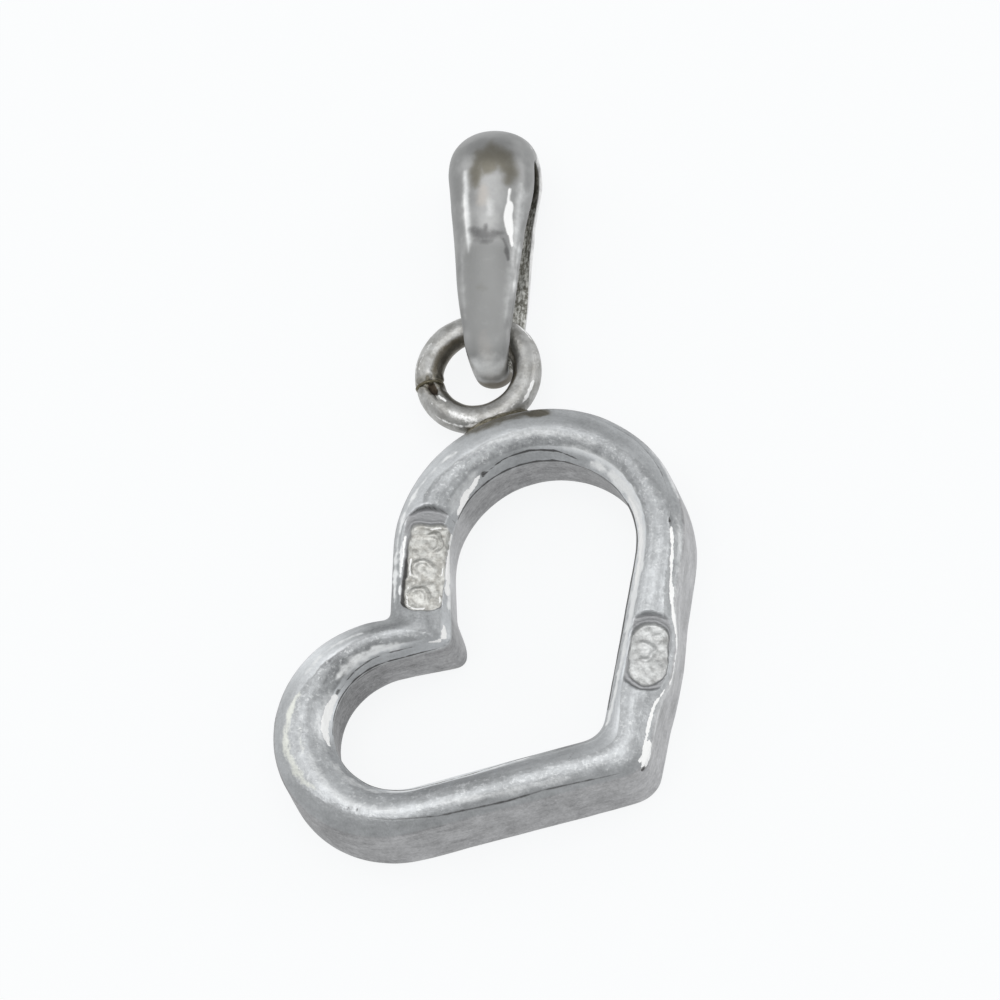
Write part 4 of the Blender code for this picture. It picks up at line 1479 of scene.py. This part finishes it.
@dataclass
class JumpRing:
    """The bent wire with its butt joint, and the solder at the joint and at its foot."""

    outer_diameter: float = 4.05
    wire: float = 0.93
    height: float = 1.3
    seat_angle: float = math.radians(110.5)
    butt_angle: float = math.radians(194)
    seat_gap: float = 0.05
    groove_depth: float = 0.06
    groove_reach: float = 0.14
    scar_depth: float = 0.1
    file_marks: float = 0.03
    worn_away: float = 0.012
    seam_size: tuple[float, float, float] = (0.45, 0.11, 0.45)
    solder_length: float = 2.6
    solder_height: float = 1.3
    solder_lift: float = 0.02
    solder_reach: float = 0.4
    turn_steps: int = 150
    wire_sides: int = 36
    wear: Unevenness = Unevenness(0.014, 0.9, 0.006, 0.3, 5)
    rims: Unevenness = Unevenness(0.05, 0.3, 0.03, 0.12, 35)
    solder_skin: Unevenness = Unevenness(0.03, 0.3, 0.015, 0.12, 0)
    grain_depth: float = 0.012

    def centre(self, heart: Heart) -> Vector:
        """Middle of the ring in plan, a seat gap off the heart's wall."""
        return at_angle(heart.plan.upper, self.wall(heart) + self.seat_gap + self.outer_diameter / 2, self.seat_angle)

    def wall(self, heart: Heart) -> float:
        """The upper lobe's radius at the ring's height."""
        return heart.plan.upper_lobe + heart.back_flare * (1 - self.height / heart.wall_height)

    def centre_radius(self) -> float:
        """Radius of the wire's centre line."""
        return (self.outer_diameter - self.wire) / 2

    def model_wire(self, centre: Vector) -> bpy.types.Object:
        """Bend the plain ring.

        Args:
            centre: Its middle in plan.

        Returns:
            The ring.
        """
        deselect_all()
        bpy.ops.mesh.primitive_torus_add(
            major_segments=self.turn_steps, minor_segments=self.wire_sides, major_radius=self.centre_radius(),
            minor_radius=self.wire / 2, location=(*centre, self.height),
        )
        piece = new_piece("jump_ring_wire")
        bpy.ops.object.transform_apply(location=True, rotation=True, scale=True)
        subdivide(piece, 1)
        return piece

    def sculpt_wire(self, piece: bpy.types.Object, centre: Vector) -> None:
        """Wear the ring, cut the groove of its butt joint and paint where each finish goes, painted highlights and
        shade among them.

        Args:
            piece: The plain ring.
            centre: Its middle in plan.
        """
        surface = Surface(piece)
        offset = surface.points[:, :2] - np.array(centre)
        angle = np.arctan2(offset[:, 1], offset[:, 0])
        from_butt = np.angle(np.exp(1j * (angle - self.butt_angle))) * self.centre_radius()
        aside = np.linalg.norm(offset, axis=1) - self.centre_radius()
        around = np.arctan2(surface.points[:, 2] - self.height, aside) * self.wire / 2
        along = angle % FULL_TURN * self.centre_radius()
        wander = self.rims.on(surface.points)
        painted = {
            mark: strokes_on([self.on_wire(stroke) for stroke in strokes], along, around, wander)
            for mark, strokes in (("bright", RING_HIGHLIGHTS), ("dark", RING_DARK), ("stain", RING_STAIN))
        }
        wear = self.wear.on(surface.points) - self.worn_away
        filed = self.file_marks * ramp(0.8, 0.2, np.abs(from_butt)) * lumps(surface.points, 0.2, 7)
        groove = self.groove_depth * hump(from_butt + 2 * wander, 0.0, self.groove_reach)
        surface.push(wear + filed - groove - self.scar_depth * painted["dark"])
        surface.hand_back()
        for mark, cover in painted.items():
            surface.paint(mark, cover)
        surface.paint("inner", ramp(-0.1, -0.4, aside))
        surface.paint("seam", ramp(0.4, 0.05, np.abs(from_butt + 2 * wander)))

    def on_wire(self, stroke: Stroke) -> Stroke:
        """Bring a stroke to millimetres.

        Args:
            stroke: A stroke given in degrees round the ring and round its wire.

        Returns:
            The same stroke in millimetres.
        """
        scale = math.radians(self.centre_radius()), math.radians(self.wire / 2)
        return replace(stroke, path=tuple((turn * scale[0], roll * scale[1]) for turn, roll in stroke.path))

    def model_lump(self, name: str, place: Vector, size: Sequence[float], turn: float, seed: int) -> bpy.types.Object:
        """Melt a run of solder: a flattened ball with a ragged skin.

        Args:
            name: The piece's name.
            place: Its middle in plan.
            size: Its half lengths.
            turn: How far it is turned about Z.
            seed: Which ragged pattern.

        Returns:
            The piece.
        """
        deselect_all()
        bpy.ops.mesh.primitive_ico_sphere_add(subdivisions=5, radius=1.0, scale=size)
        piece = new_piece(name)
        piece.rotation_euler = (0.0, 0.0, turn)
        piece.location = (*place, self.height)
        bpy.ops.object.transform_apply(location=True, rotation=True, scale=True)
        surface = Surface(piece)
        surface.push(self.solder_skin.reseeded(seed).on(surface.points))
        surface.hand_back()
        return piece

    def wire_finish(self) -> Finish:
        """Worn silver with painted highlights and a painted shade line, brown on the inside of the ring and beside the
        solder.

        Returns:
            The finish.
        """
        finish = Finish("worn_ring_silver")
        cloud = finish.grain(0.45, 3.0)
        fine = finish.grain(0.09, 3.0, 0.6)
        colour = finish.blend((0.7 * cloud + 0.3 * fine).step(0.36, 0.64), RING_LOW, RING_HIGH)
        inner = finish.ragged("inner", (0.4, 0.8), (cloud, 1.0), (fine, 0.4)) * 0.75
        stain = finish.ragged("stain", (0.3, 0.8), (cloud, 0.8), (fine, 0.6)) * 0.8
        bright = finish.ragged("bright", (0.2, 0.75), (fine, 0.8))
        seam = finish.ragged("seam", (0.3, 0.8), (fine, 1.0)) * 0.4
        dark = finish.ragged("dark", (0.3, 0.7), (fine, 0.5))
        for share, over in (
            (inner, RING_BROWN), (stain, RING_BROWN), (bright, HIGHLIGHT_WHITE), (seam, SOLDER_DARK), (dark, RING_BLACK),
        ):
            colour = finish.blend(share, colour, over)
        finish.done(colour, 0.34 + 0.15 * cloud, fine, self.grain_depth, 0.8 * bright)
        return finish

    def solder_finish(self) -> Finish:
        """Tarnished solder: olive brown with paler worn spots.

        Returns:
            The finish.
        """
        finish = Finish("tarnished_solder_skin")
        cloud = finish.grain(0.25, 3.0)
        fine = finish.grain(0.07, 2.0)
        colour = finish.blend((0.7 * cloud + 0.3 * fine).step(0.48, 0.72), SOLDER_DARK, SOLDER_PALE)
        finish.done(colour, 0.35 + 0.2 * cloud, fine, self.grain_depth)
        return finish

    def build(self, heart: Heart, shift: Vector) -> None:
        """Make the ring and both runs of solder.

        Args:
            heart: The heart that the ring is soldered to.
            shift: Where the lower lobe's middle is in the frame, in metres.
        """
        centre = self.centre(heart)
        wire = self.model_wire(centre)
        self.sculpt_wire(wire, centre)
        self.wire_finish().dress(wire)
        settle(wire, Body.HEART_AND_RING, "jump_ring", shift)
        butt = at_angle(centre, self.centre_radius(), self.butt_angle)
        seam = self.model_lump("seam_solder_lump", butt, self.seam_size, self.butt_angle, 8)
        seat = at_angle(heart.plan.upper, self.wall(heart), self.seat_angle)
        foot_size = (self.solder_reach, self.solder_length / 2, self.solder_height / 2)
        foot = self.model_lump("foot_solder_fillet", seat, foot_size, self.seat_angle, 9)
        foot.data.transform(Matrix.Translation((0.0, 0.0, self.solder_lift)))
        solder = self.solder_finish()
        for piece, node in ((seam, "ring_seam_solder"), (foot, "heart_solder")):
            solder.dress(piece)
            settle(piece, Body.HEART_AND_RING, node, shift)


# ---------------------------------------------------------------- the bail

# Colours of the bail
BAIL_LOW = (0.31, 0.312, 0.31)
BAIL_HIGH = (0.39, 0.392, 0.39)
BAIL_BEIGE_SILVER = (0.4, 0.38, 0.36)
BAIL_OLIVE = (0.185, 0.176, 0.148)
BAIL_SHADE = (0.14, 0.14, 0.14)
BAIL_CALM = (0.32, 0.323, 0.32)
TOE_SHADE_BROWN = (0.13, 0.115, 0.09)
HOLLOW_DARK = (0.15, 0.145, 0.12)
HOLLOW_LOW = (0.19, 0.185, 0.16)
HOLLOW_HIGH = (0.7, 0.7, 0.67)

# Painted highlights, sheen and shade, and the bail's own tones: millimetres from its foot up the front and round its
# eye, and share of its half width aside
# Painted highlights on the bail
BAIL_HIGHLIGHTS = (
    Stroke(((4.4, -0.53), (3.8, -0.52), (3.0, -0.51)), 0.02, 0.08, 0.8),
    Stroke(((4.5, 0.56), (4.2, 0.56), (3.6, 0.61), (3.2, 0.67), (2.7, 0.76)), 0.045, 0.04, 1.0, 0.5),
    Stroke(((4.1, 0.6), (3.6, 0.6), (3.3, 0.65), (3.0, 0.7)), 0.11, 0.04),
    Stroke(((6.05, 0.9), (5.9, 0.92)), 0.03, 0.05, 0.5),
    Stroke(((6.2, 0.98), (8.0, 0.98), (12.4, 0.98)), 0.05, 0.05, 0.7),
)
# Painted sheen on the bail
BAIL_SHEEN = (
    Stroke(((5.1, -0.47), (4.1, -0.48), (3.4, -0.47), (2.5, -0.5)), 0.07, 0.12, 0.8),
    Stroke(((4.7, 0.78), (3.9, 0.8), (2.6, 0.86)), 0.1, 0.14, 0.5),
    Stroke(((4.2, 0.12), (3.6, 0.14)), 0.1, 0.16, 0.4),
    Stroke(((2.6, 0.82), (1.4, 0.82), (0.2, 0.75)), 0.08, 0.16, 0.4),
    Stroke(((3.0, -0.7), (1.6, -0.75), (0.4, -0.8)), 0.05, 0.14, 0.35),
    Stroke(((2.9, 0.93), (1.2, 0.94)), 0.04, 0.08, 0.6),
    Stroke(((13.9, -0.8), (13.92, 0.0), (13.9, 0.8)), 0.2, 0.16, 0.6, 0.2),
)
# Painted shade across the bail's front, in a patch and along an arch
BAIL_SHADE_STROKES = (
    Stroke(((3.35, 0.06), (3.1, 0.02), (2.9, -0.05)), 0.05, 0.1, 0.8),
    Stroke(((3.2, -0.4), (3.05, -0.1), (3.0, 0.15), (3.05, 0.45)), 0.15, 0.24, 0.9, 0.5),
    Stroke(((2.85, -0.3), (2.8, 0.1), (2.95, 0.4), (2.85, 0.55)), 0.07, 0.16, 0.65),
    Stroke(((2.9, 0.5), (2.65, 0.62), (2.2, 0.7)), 0.05, 0.07, 0.85, 0.4),
    Stroke(((2.75, -0.5), (2.2, -0.4), (1.9, -0.1)), 0.06, 0.16, 0.3),
)
BAIL_WARM = (
    Stroke(
        ((4.5, -0.22), (5.0, -0.2), (5.3, -0.04), (5.4, 0.19), (5.32, 0.42), (5.0, 0.56), (4.6, 0.5)),
        0.2, 0.2, 0.85,
    ),
    Stroke(((5.1, 0.06), (5.35, 0.14)), 0.26, 0.24, 0.95, 0.3),
    Stroke(((1.35, -0.35), (1.25, 0.1)), 0.15, 0.25, 0.35),
    Stroke(((13.9, -0.2), (14.1, 0.2), (14.0, 0.5)), 0.16, 0.25, 0.3),
)
BAIL_BEIGE = (
    Stroke(((3.9, -0.05), (4.2, -0.04), (4.6, 0.0)), 0.2, 0.2, 0.8),
    Stroke(((14.3, -0.1), (14.0, 0.05), (13.75, 0.05)), 0.38, 0.3, 0.4, 0.1),
)
# Painted shade in brown along the toe's lowest edge and under it
TOE_SHADE = (
    Stroke(((13.5, -1.0), (13.56, 0.0), (13.5, 1.0)), 0.14, 0.08, 1.0, 0.0),
    Stroke(((12.4, 0.0), (13.0, 0.0)), 0.35, 0.25, 0.4),
)

# What is painted on the bail's outside, and how far the rims of each kind wander
BAIL_STROKES = (
    ("bright", BAIL_HIGHLIGHTS, 0.4), ("pale", BAIL_SHEEN, 1.0), ("dark", BAIL_SHADE_STROKES, 1.0),
    ("warm", BAIL_WARM, 1.0), ("beige", BAIL_BEIGE, 1.0), ("toe", TOE_SHADE, 1.0),
)


@dataclass
class Bail:
    """The cast bail: a solid foot that opens into a half-round shell round the head.

    Each swell is given by its height, its place round the eye and its reach to each side.
    """

    length: float = 8.48
    top_width: float = 2.64
    foot_width: float = 1.5
    toe_width: float = 1.1
    taper: float = 0.8
    top_rise: float = 1.05
    foot_rise: float = 0.52
    toe_rise: float = 0.88
    wall: float = 0.38
    rim: float = 0.2
    eye_half_gap: float = 0.65
    slack: float = 0.24
    seat_angle: float = math.radians(16.5)
    lean: float = math.radians(0.9)
    pivot_inset: float = 0.14
    table_gap: float = 0.02
    swells: tuple[tuple[float, float, float], ...] = ((0.15, 4.75, 1.6), (0.09, 6.9, 1.9))
    hollow_start: float = 0.2
    hollow_full: float = 0.62
    hollow_inset: float = 0.015
    hollow_rough: float = 0.03
    straight_steps: int = 22
    bend_steps: int = 24
    outer_points: int = 21
    section_points: int = 38
    wear: Unevenness = Unevenness(0.012, 1.1, 0.004, 0.4, 11)
    rims: Unevenness = Unevenness(0.05, 0.6, 0.04, 0.2, 33)
    grain_depth: float = 0.005

    def straight(self) -> float:
        """Length of the eye's straight sides."""
        return self.length - self.top_rise - self.toe_rise - 2 * self.eye_half_gap

    def bend(self) -> float:
        """Length of the half circle at each end of the eye."""
        return HALF_TURN * self.eye_half_gap

    def once_round(self) -> float:
        """Length of the eye's wall."""
        return 2 * (self.straight() + self.bend())

    def section(self, share: float, toe: float) -> np.ndarray:
        """The section at a share of the length from the foot: sideways and outwards from the eye's wall.

        Args:
            share: 0 at the foot and 1 at the head.
            toe: 1 at the lowest point of the toe.

        Returns:
            The section's points.
        """
        width = self.foot_width + share**self.taper * (self.top_width - self.foot_width)
        half = (width - toe * (self.foot_width - self.toe_width)) / 2
        rise = self.foot_rise + share * (self.top_rise - self.foot_rise) + toe * (self.toe_rise - self.foot_rise)
        hollow = float(ramp(self.hollow_start, self.hollow_full, np.array(share)))
        outer = np.linspace(-QUARTER_TURN, QUARTER_TURN, self.outer_points)
        inner = np.linspace(QUARTER_TURN, -QUARTER_TURN, self.section_points - self.outer_points)
        shell = np.concatenate([
            np.column_stack([half * np.sin(outer), rise * np.cos(outer)]),
            np.column_stack([(half - self.rim) * np.sin(inner), (rise - self.wall) * np.cos(inner)]),
        ])
        around = FULL_TURN * (np.arange(self.section_points) - (self.outer_points - 1) / 2) / self.section_points
        bar = np.column_stack([half * np.sin(around), rise * (1 + np.cos(around)) / 2])
        return (1 - hollow) * bar + hollow * shell

    def stations(self) -> list[tuple[float, float, float]]:
        """Where the sections stand round the eye: up its front, over the head, down its back and round the toe.

        Returns:
            For each its place along the bail and above its middle, and the direction outwards.
        """
        gap, straight = self.eye_half_gap, self.straight()
        found = []
        for start, end, side in ((0.0, straight, 1), (straight, 0.0, -1)):
            for step in range(self.straight_steps):
                along = start + (end - start) * step / self.straight_steps
                found.append((along, side * gap, side * QUARTER_TURN))
            for step in range(self.bend_steps):
                turn = side * QUARTER_TURN - HALF_TURN * step / self.bend_steps
                found.append((end + gap * math.cos(turn), gap * math.sin(turn), turn))
        return found

    def model(self) -> bpy.types.Object:
        """Extrude the section round the eye and round it off.

        Returns:
            The plain bail, its eye lying along Y from the pivot.
        """
        rows, shares, sides = [], [], []
        for along, up, turn in self.stations():
            share = max(0.0, min(1.0, along / self.straight()))
            sideways, outwards = self.section(share, min(0.0, math.cos(turn)) ** 2).T
            rows.append(np.column_stack([
                sideways, along + outwards * math.cos(turn) - self.slack, up + outwards * math.sin(turn),
            ]))
            shares.append(np.full(self.section_points, share))
            sides.append(sideways / np.abs(sideways).max())
        counts = np.tile([self.straight_steps, self.bend_steps], 2)
        steps = np.repeat(np.tile([self.straight(), self.bend()], 2) / counts, counts)
        marks = turn_marks(FULL_TURN * (np.cumsum(steps) - steps) / self.once_round(), self.section_points)
        marks["share"] = np.array(shares)
        marks["side"] = np.array(sides)
        marks["inside"] = np.tile(np.arange(self.section_points) >= self.outer_points, (len(rows), 1)).astype(float)
        piece = extruded_loop("bail_shell", np.array(rows), marks)
        subdivide(piece, 2)
        return piece

    def place(self, piece: bpy.types.Object, ring: JumpRing, heart: Heart) -> None:
        """Lay the bail on the ring's wire, its head on the table.

        Args:
            piece: The bail, round its own pivot.
            ring: The ring that it hangs on.
            heart: The heart that the ring is soldered to.
        """
        head = self.eye_half_gap + self.top_rise + self.table_gap
        slope = math.asin((head - ring.height) / (self.straight() - self.slack))
        pivot = at_angle(ring.centre(heart), ring.centre_radius() - self.pivot_inset, QUARTER_TURN - self.seat_angle)
        turn = Matrix.Rotation(self.lean, 4, "Z") @ Matrix.Rotation(slope, 4, "X")
        piece.data.transform(Matrix.Translation((*pivot, ring.height)) @ turn)

    def sculpt(self, piece: bpy.types.Object) -> None:
        """Give the shell its hand-finished waviness and paint where each finish goes, painted light and shade among
        them.

        Args:
            piece: The plain bail in its place.
        """
        surface = Surface(piece)
        inside, across = surface.kept("inside"), surface.kept("side")
        run = surface.run(self.once_round())
        rough = self.hollow_rough * ramp(0.3, 0.6, surface.kept("share")) * lumps(surface.points, 0.25, 13)
        surface.push(self.wear.on(surface.points) + inside * (rough - self.hollow_inset))
        swell = sum(height * hump(run, middle, reach) for height, middle, reach in self.swells)
        surface.points[:, 0] += swell * ramp(0.1, 0.9, across)
        surface.hand_back()
        outside = 1 - ramp(0.4, 0.6, inside)
        wander = self.rims.on(surface.points)
        for mark, strokes, ragged in BAIL_STROKES:
            surface.paint(mark, outside * strokes_on(strokes, run, across, ragged * wander))
        front = ramp(3.1, 2.6, run + 0.8 * across**2) + ramp(13.6, 14.0, run)
        surface.paint("calm", outside * front * (1 - ramp(0.45, 1.0, np.abs(across))))
        # Deep in the hollow at the head, darkened for oxide and painted shade
        surface.paint("deep", inside * between(run, 5.4, 7.6, 0.3))

    def finish(self) -> Finish:
        """Polished silver with painted highlights, sheen and shade, olive brown at the head, dark and rough towards the
        eye.

        Returns:
            The finish.
        """
        finish = Finish("bail_silver_skin")
        cloud = finish.grain(0.8, 3.0)
        fine = finish.grain(0.12, 3.0, 0.6)
        patch = finish.grain(0.35, 2.0)
        streak = finish.streaks(self.once_round(), 0.4, finish.painted("side") * (self.top_width / 2), 0.1)
        calm = finish.painted("calm")
        pale = finish.ragged("pale", (0.0, 1.0), (patch, 0.4), (fine, 0.2))
        bright = finish.ragged("bright", (0.1, 0.8), (patch, 0.15), (fine, 0.25))
        dark = finish.ragged("dark", (0.15, 0.85), (patch, 0.5), (fine, 0.4)) * 0.85
        colour = finish.blend(cloud.step(0.35, 0.65), BAIL_LOW, BAIL_HIGH)
        colour = finish.blend(calm, colour, BAIL_CALM)
        # The bail's beige and olive tones, and the painted shade under the toe
        for mark, over in (("beige", BAIL_BEIGE_SILVER), ("warm", BAIL_OLIVE), ("toe", TOE_SHADE_BROWN)):
            colour = finish.blend(finish.ragged(mark, (0.1, 0.9), (patch, 0.35), (fine, 0.25)), colour, over)
        # Painted sheen, painted highlights and painted shade over the bail's tones
        for share, over in ((pale, SHEEN_SILVER), (bright, HIGHLIGHT_WHITE), (dark, BAIL_SHADE)):
            colour = finish.blend(share, colour, over)
        # The cast surface of the hollow
        hollow = finish.ragged("inside", (0.35, 0.7), (fine, 0.4))
        cast = finish.blend((0.5 * streak + 0.5 * fine).step(0.42, 0.62), HOLLOW_LOW, HOLLOW_HIGH)
        # Darker deep in the hollow at the head: oxide and painted shade
        cast = finish.blend(finish.painted("deep") * 0.9, cast, HOLLOW_DARK)
        colour = finish.blend(hollow, colour, cast)
        roughness = 0.4 + 0.1 * cloud + 0.15 * hollow + 0.15 * calm
        finish.done(colour, roughness, fine, self.grain_depth, (0.9 * bright).at_least(0.4 * pale))
        return finish

    def build(self, ring: JumpRing, heart: Heart, shift: Vector) -> None:
        """Make the whole bail.

        Args:
            ring: The ring that it hangs on.
            heart: The heart that the ring is soldered to.
            shift: Where the lower lobe's middle is in the frame, in metres.
        """
        piece = self.model()
        self.place(piece, ring, heart)
        self.sculpt(piece)
        self.finish().dress(piece)
        settle(piece, Body.BAIL, "bail", shift)


# ---------------------------------------------------------------- studio

# Colours of the sheet and of the white behind it
PAPER = (0.86, 0.87, 0.88)
BACKDROP = (0.985, 0.995, 1.0)


@dataclass(frozen=True)
class Lamp:
    """A soft square light: where it is, how wide and how bright its face is."""

    name: str
    place: tuple[float, float, float]
    width: float
    brightness: float

    def build(self) -> None:
        """Hang the light, facing the object and out of the camera's sight."""
        light = bpy.data.lights.new(self.name, "AREA")
        light.shape = "SQUARE"
        light.size = self.width
        light.energy = self.brightness * math.pi * self.width**2
        lamp = bpy.data.objects.new(self.name, light)
        bpy.context.scene.collection.objects.link(lamp)
        lamp.location = self.place
        lamp.rotation_euler = Vector(self.place).to_track_quat("Z", "Y").to_euler()
        lamp.visible_camera = False


@dataclass
class Studio:
    """The pale floor, the lights and the camera.

    The camera is tilted from straight above, about a level line at its azimuth from X, and rolled about its own axis.
    The aim, in millimetres, is seen at the aim's pixel.
    """

    tilt: float = math.radians(25.953)
    azimuth: float = math.radians(26.041)
    roll: float = math.radians(0.041)
    distance: float = 200.0
    pixels_per_mm: float = 32.365
    aim: tuple[float, float, float] = (2.6, 8.2, 1.3)
    aim_pixel: tuple[float, float] = (488.656, 488.975)
    frame_pixels: float = 1000.0
    sensor: float = 36.0
    nearest_seen: float = 0.005
    world_level: float = 0.64
    backdrop_level: float = 0.98
    sheet_glow: float = 0.88
    floor_size: float = 2.0
    lamps: tuple[Lamp, ...] = (
        Lamp("overhead", (0.0, -0.02, 0.5), 0.42, 1.5),
        Lamp("right_window", (0.46, 0.17, 0.2), 0.2, 2.4),
        Lamp("left_card", (-0.42, 0.2, 0.28), 0.26, 1.2),
    )

    def build_camera(self, shift: Vector) -> None:
        """Stand the camera where the photograph's was.

        Args:
            shift: Where the lower lobe's middle is in the frame, in metres.
        """
        turn = Matrix.Rotation(self.tilt, 3, Vector((math.cos(self.azimuth), math.sin(self.azimuth), 0.0)))
        towards = turn.col[2].copy()
        turn = turn @ Matrix.Rotation(self.roll, 3, "Z")
        right, up = turn.col[0], turn.col[1]
        half = self.frame_pixels / 2
        aside = (half - self.aim_pixel[0]) / self.pixels_per_mm
        above = (self.aim_pixel[1] - half) / self.pixels_per_mm
        place = Vector(self.aim) + self.distance * towards + aside * right + above * up
        camera = bpy.data.cameras.new("camera")
        camera.sensor_width = self.sensor
        camera.lens = self.sensor * self.distance * self.pixels_per_mm / self.frame_pixels
        camera.clip_start = self.nearest_seen
        stand = bpy.data.objects.new("camera", camera)
        bpy.context.scene.collection.objects.link(stand)
        stand.matrix_world = Matrix.Translation(MM * place + shift) @ turn.to_4x4()
        bpy.context.scene.camera = stand

    def build_floor(self) -> None:
        """A white sheet that the camera and the metal see as white, with the object's shadow kept."""
        deselect_all()
        bpy.ops.mesh.primitive_plane_add(size=self.floor_size)
        floor = new_piece("floor")
        finish = Finish("white_sheet")
        finish.tree.nodes.remove(finish.shader)
        paper = finish.node("ShaderNodeBsdfDiffuse", {}, {"Color": PAPER})
        glow = finish.node("ShaderNodeEmission", {}, {"Color": BACKDROP, "Strength": 1.0})
        seen = finish.seen_rays("Is Camera Ray", "Is Glossy Ray", "Is Transmission Ray")
        sheet = finish.node("ShaderNodeMixShader", {}, {0: seen * self.sheet_glow, 1: paper, 2: glow})
        finish.feed(finish.tree.nodes["Material Output"].inputs["Surface"], sheet)
        finish.dress(floor)

    def build_world(self) -> None:
        """Plain light from all round, with a white background for the camera."""
        world = bpy.data.worlds.new("studio")
        bpy.context.scene.world = world
        world.use_nodes = True
        nodes = Nodes(world.node_tree)
        background = nodes.tree.nodes["Background"]
        nodes.feed(background.inputs["Color"], BACKDROP)
        sockets = {"Factor": nodes.seen_rays("Is Camera Ray"), "A": self.world_level, "B": self.backdrop_level}
        nodes.feed(background.inputs["Strength"], nodes.node("ShaderNodeMix", {}, sockets, "Result"))

    def build(self, shift: Vector) -> None:
        """Set up everything that isn't the object.

        Args:
            shift: Where the lower lobe's middle is in the frame, in metres.
        """
        bpy.context.scene.view_settings.view_transform = "Standard"
        self.build_camera(shift)
        self.build_floor()
        self.build_world()
        for lamp in self.lamps:
            lamp.build()


# ---------------------------------------------------------------- the whole pendant


def main() -> None:
    """Build the pendant and its studio, and log how many faces each piece came out with."""
    logging.basicConfig(level=logging.INFO, format="%(message)s")
    heart, ring, bail = Heart(), JumpRing(), Bail()
    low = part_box("heart")[0]
    reach = MM * (heart.plan.lower_lobe + heart.back_flare)
    shift = Vector((low.x + reach, low.y + reach, 0.0))
    heart.build(shift)
    ring.build(heart, shift)
    bail.build(ring, heart, shift)
    Studio().build(shift)


if __name__ == "__main__":
    main()
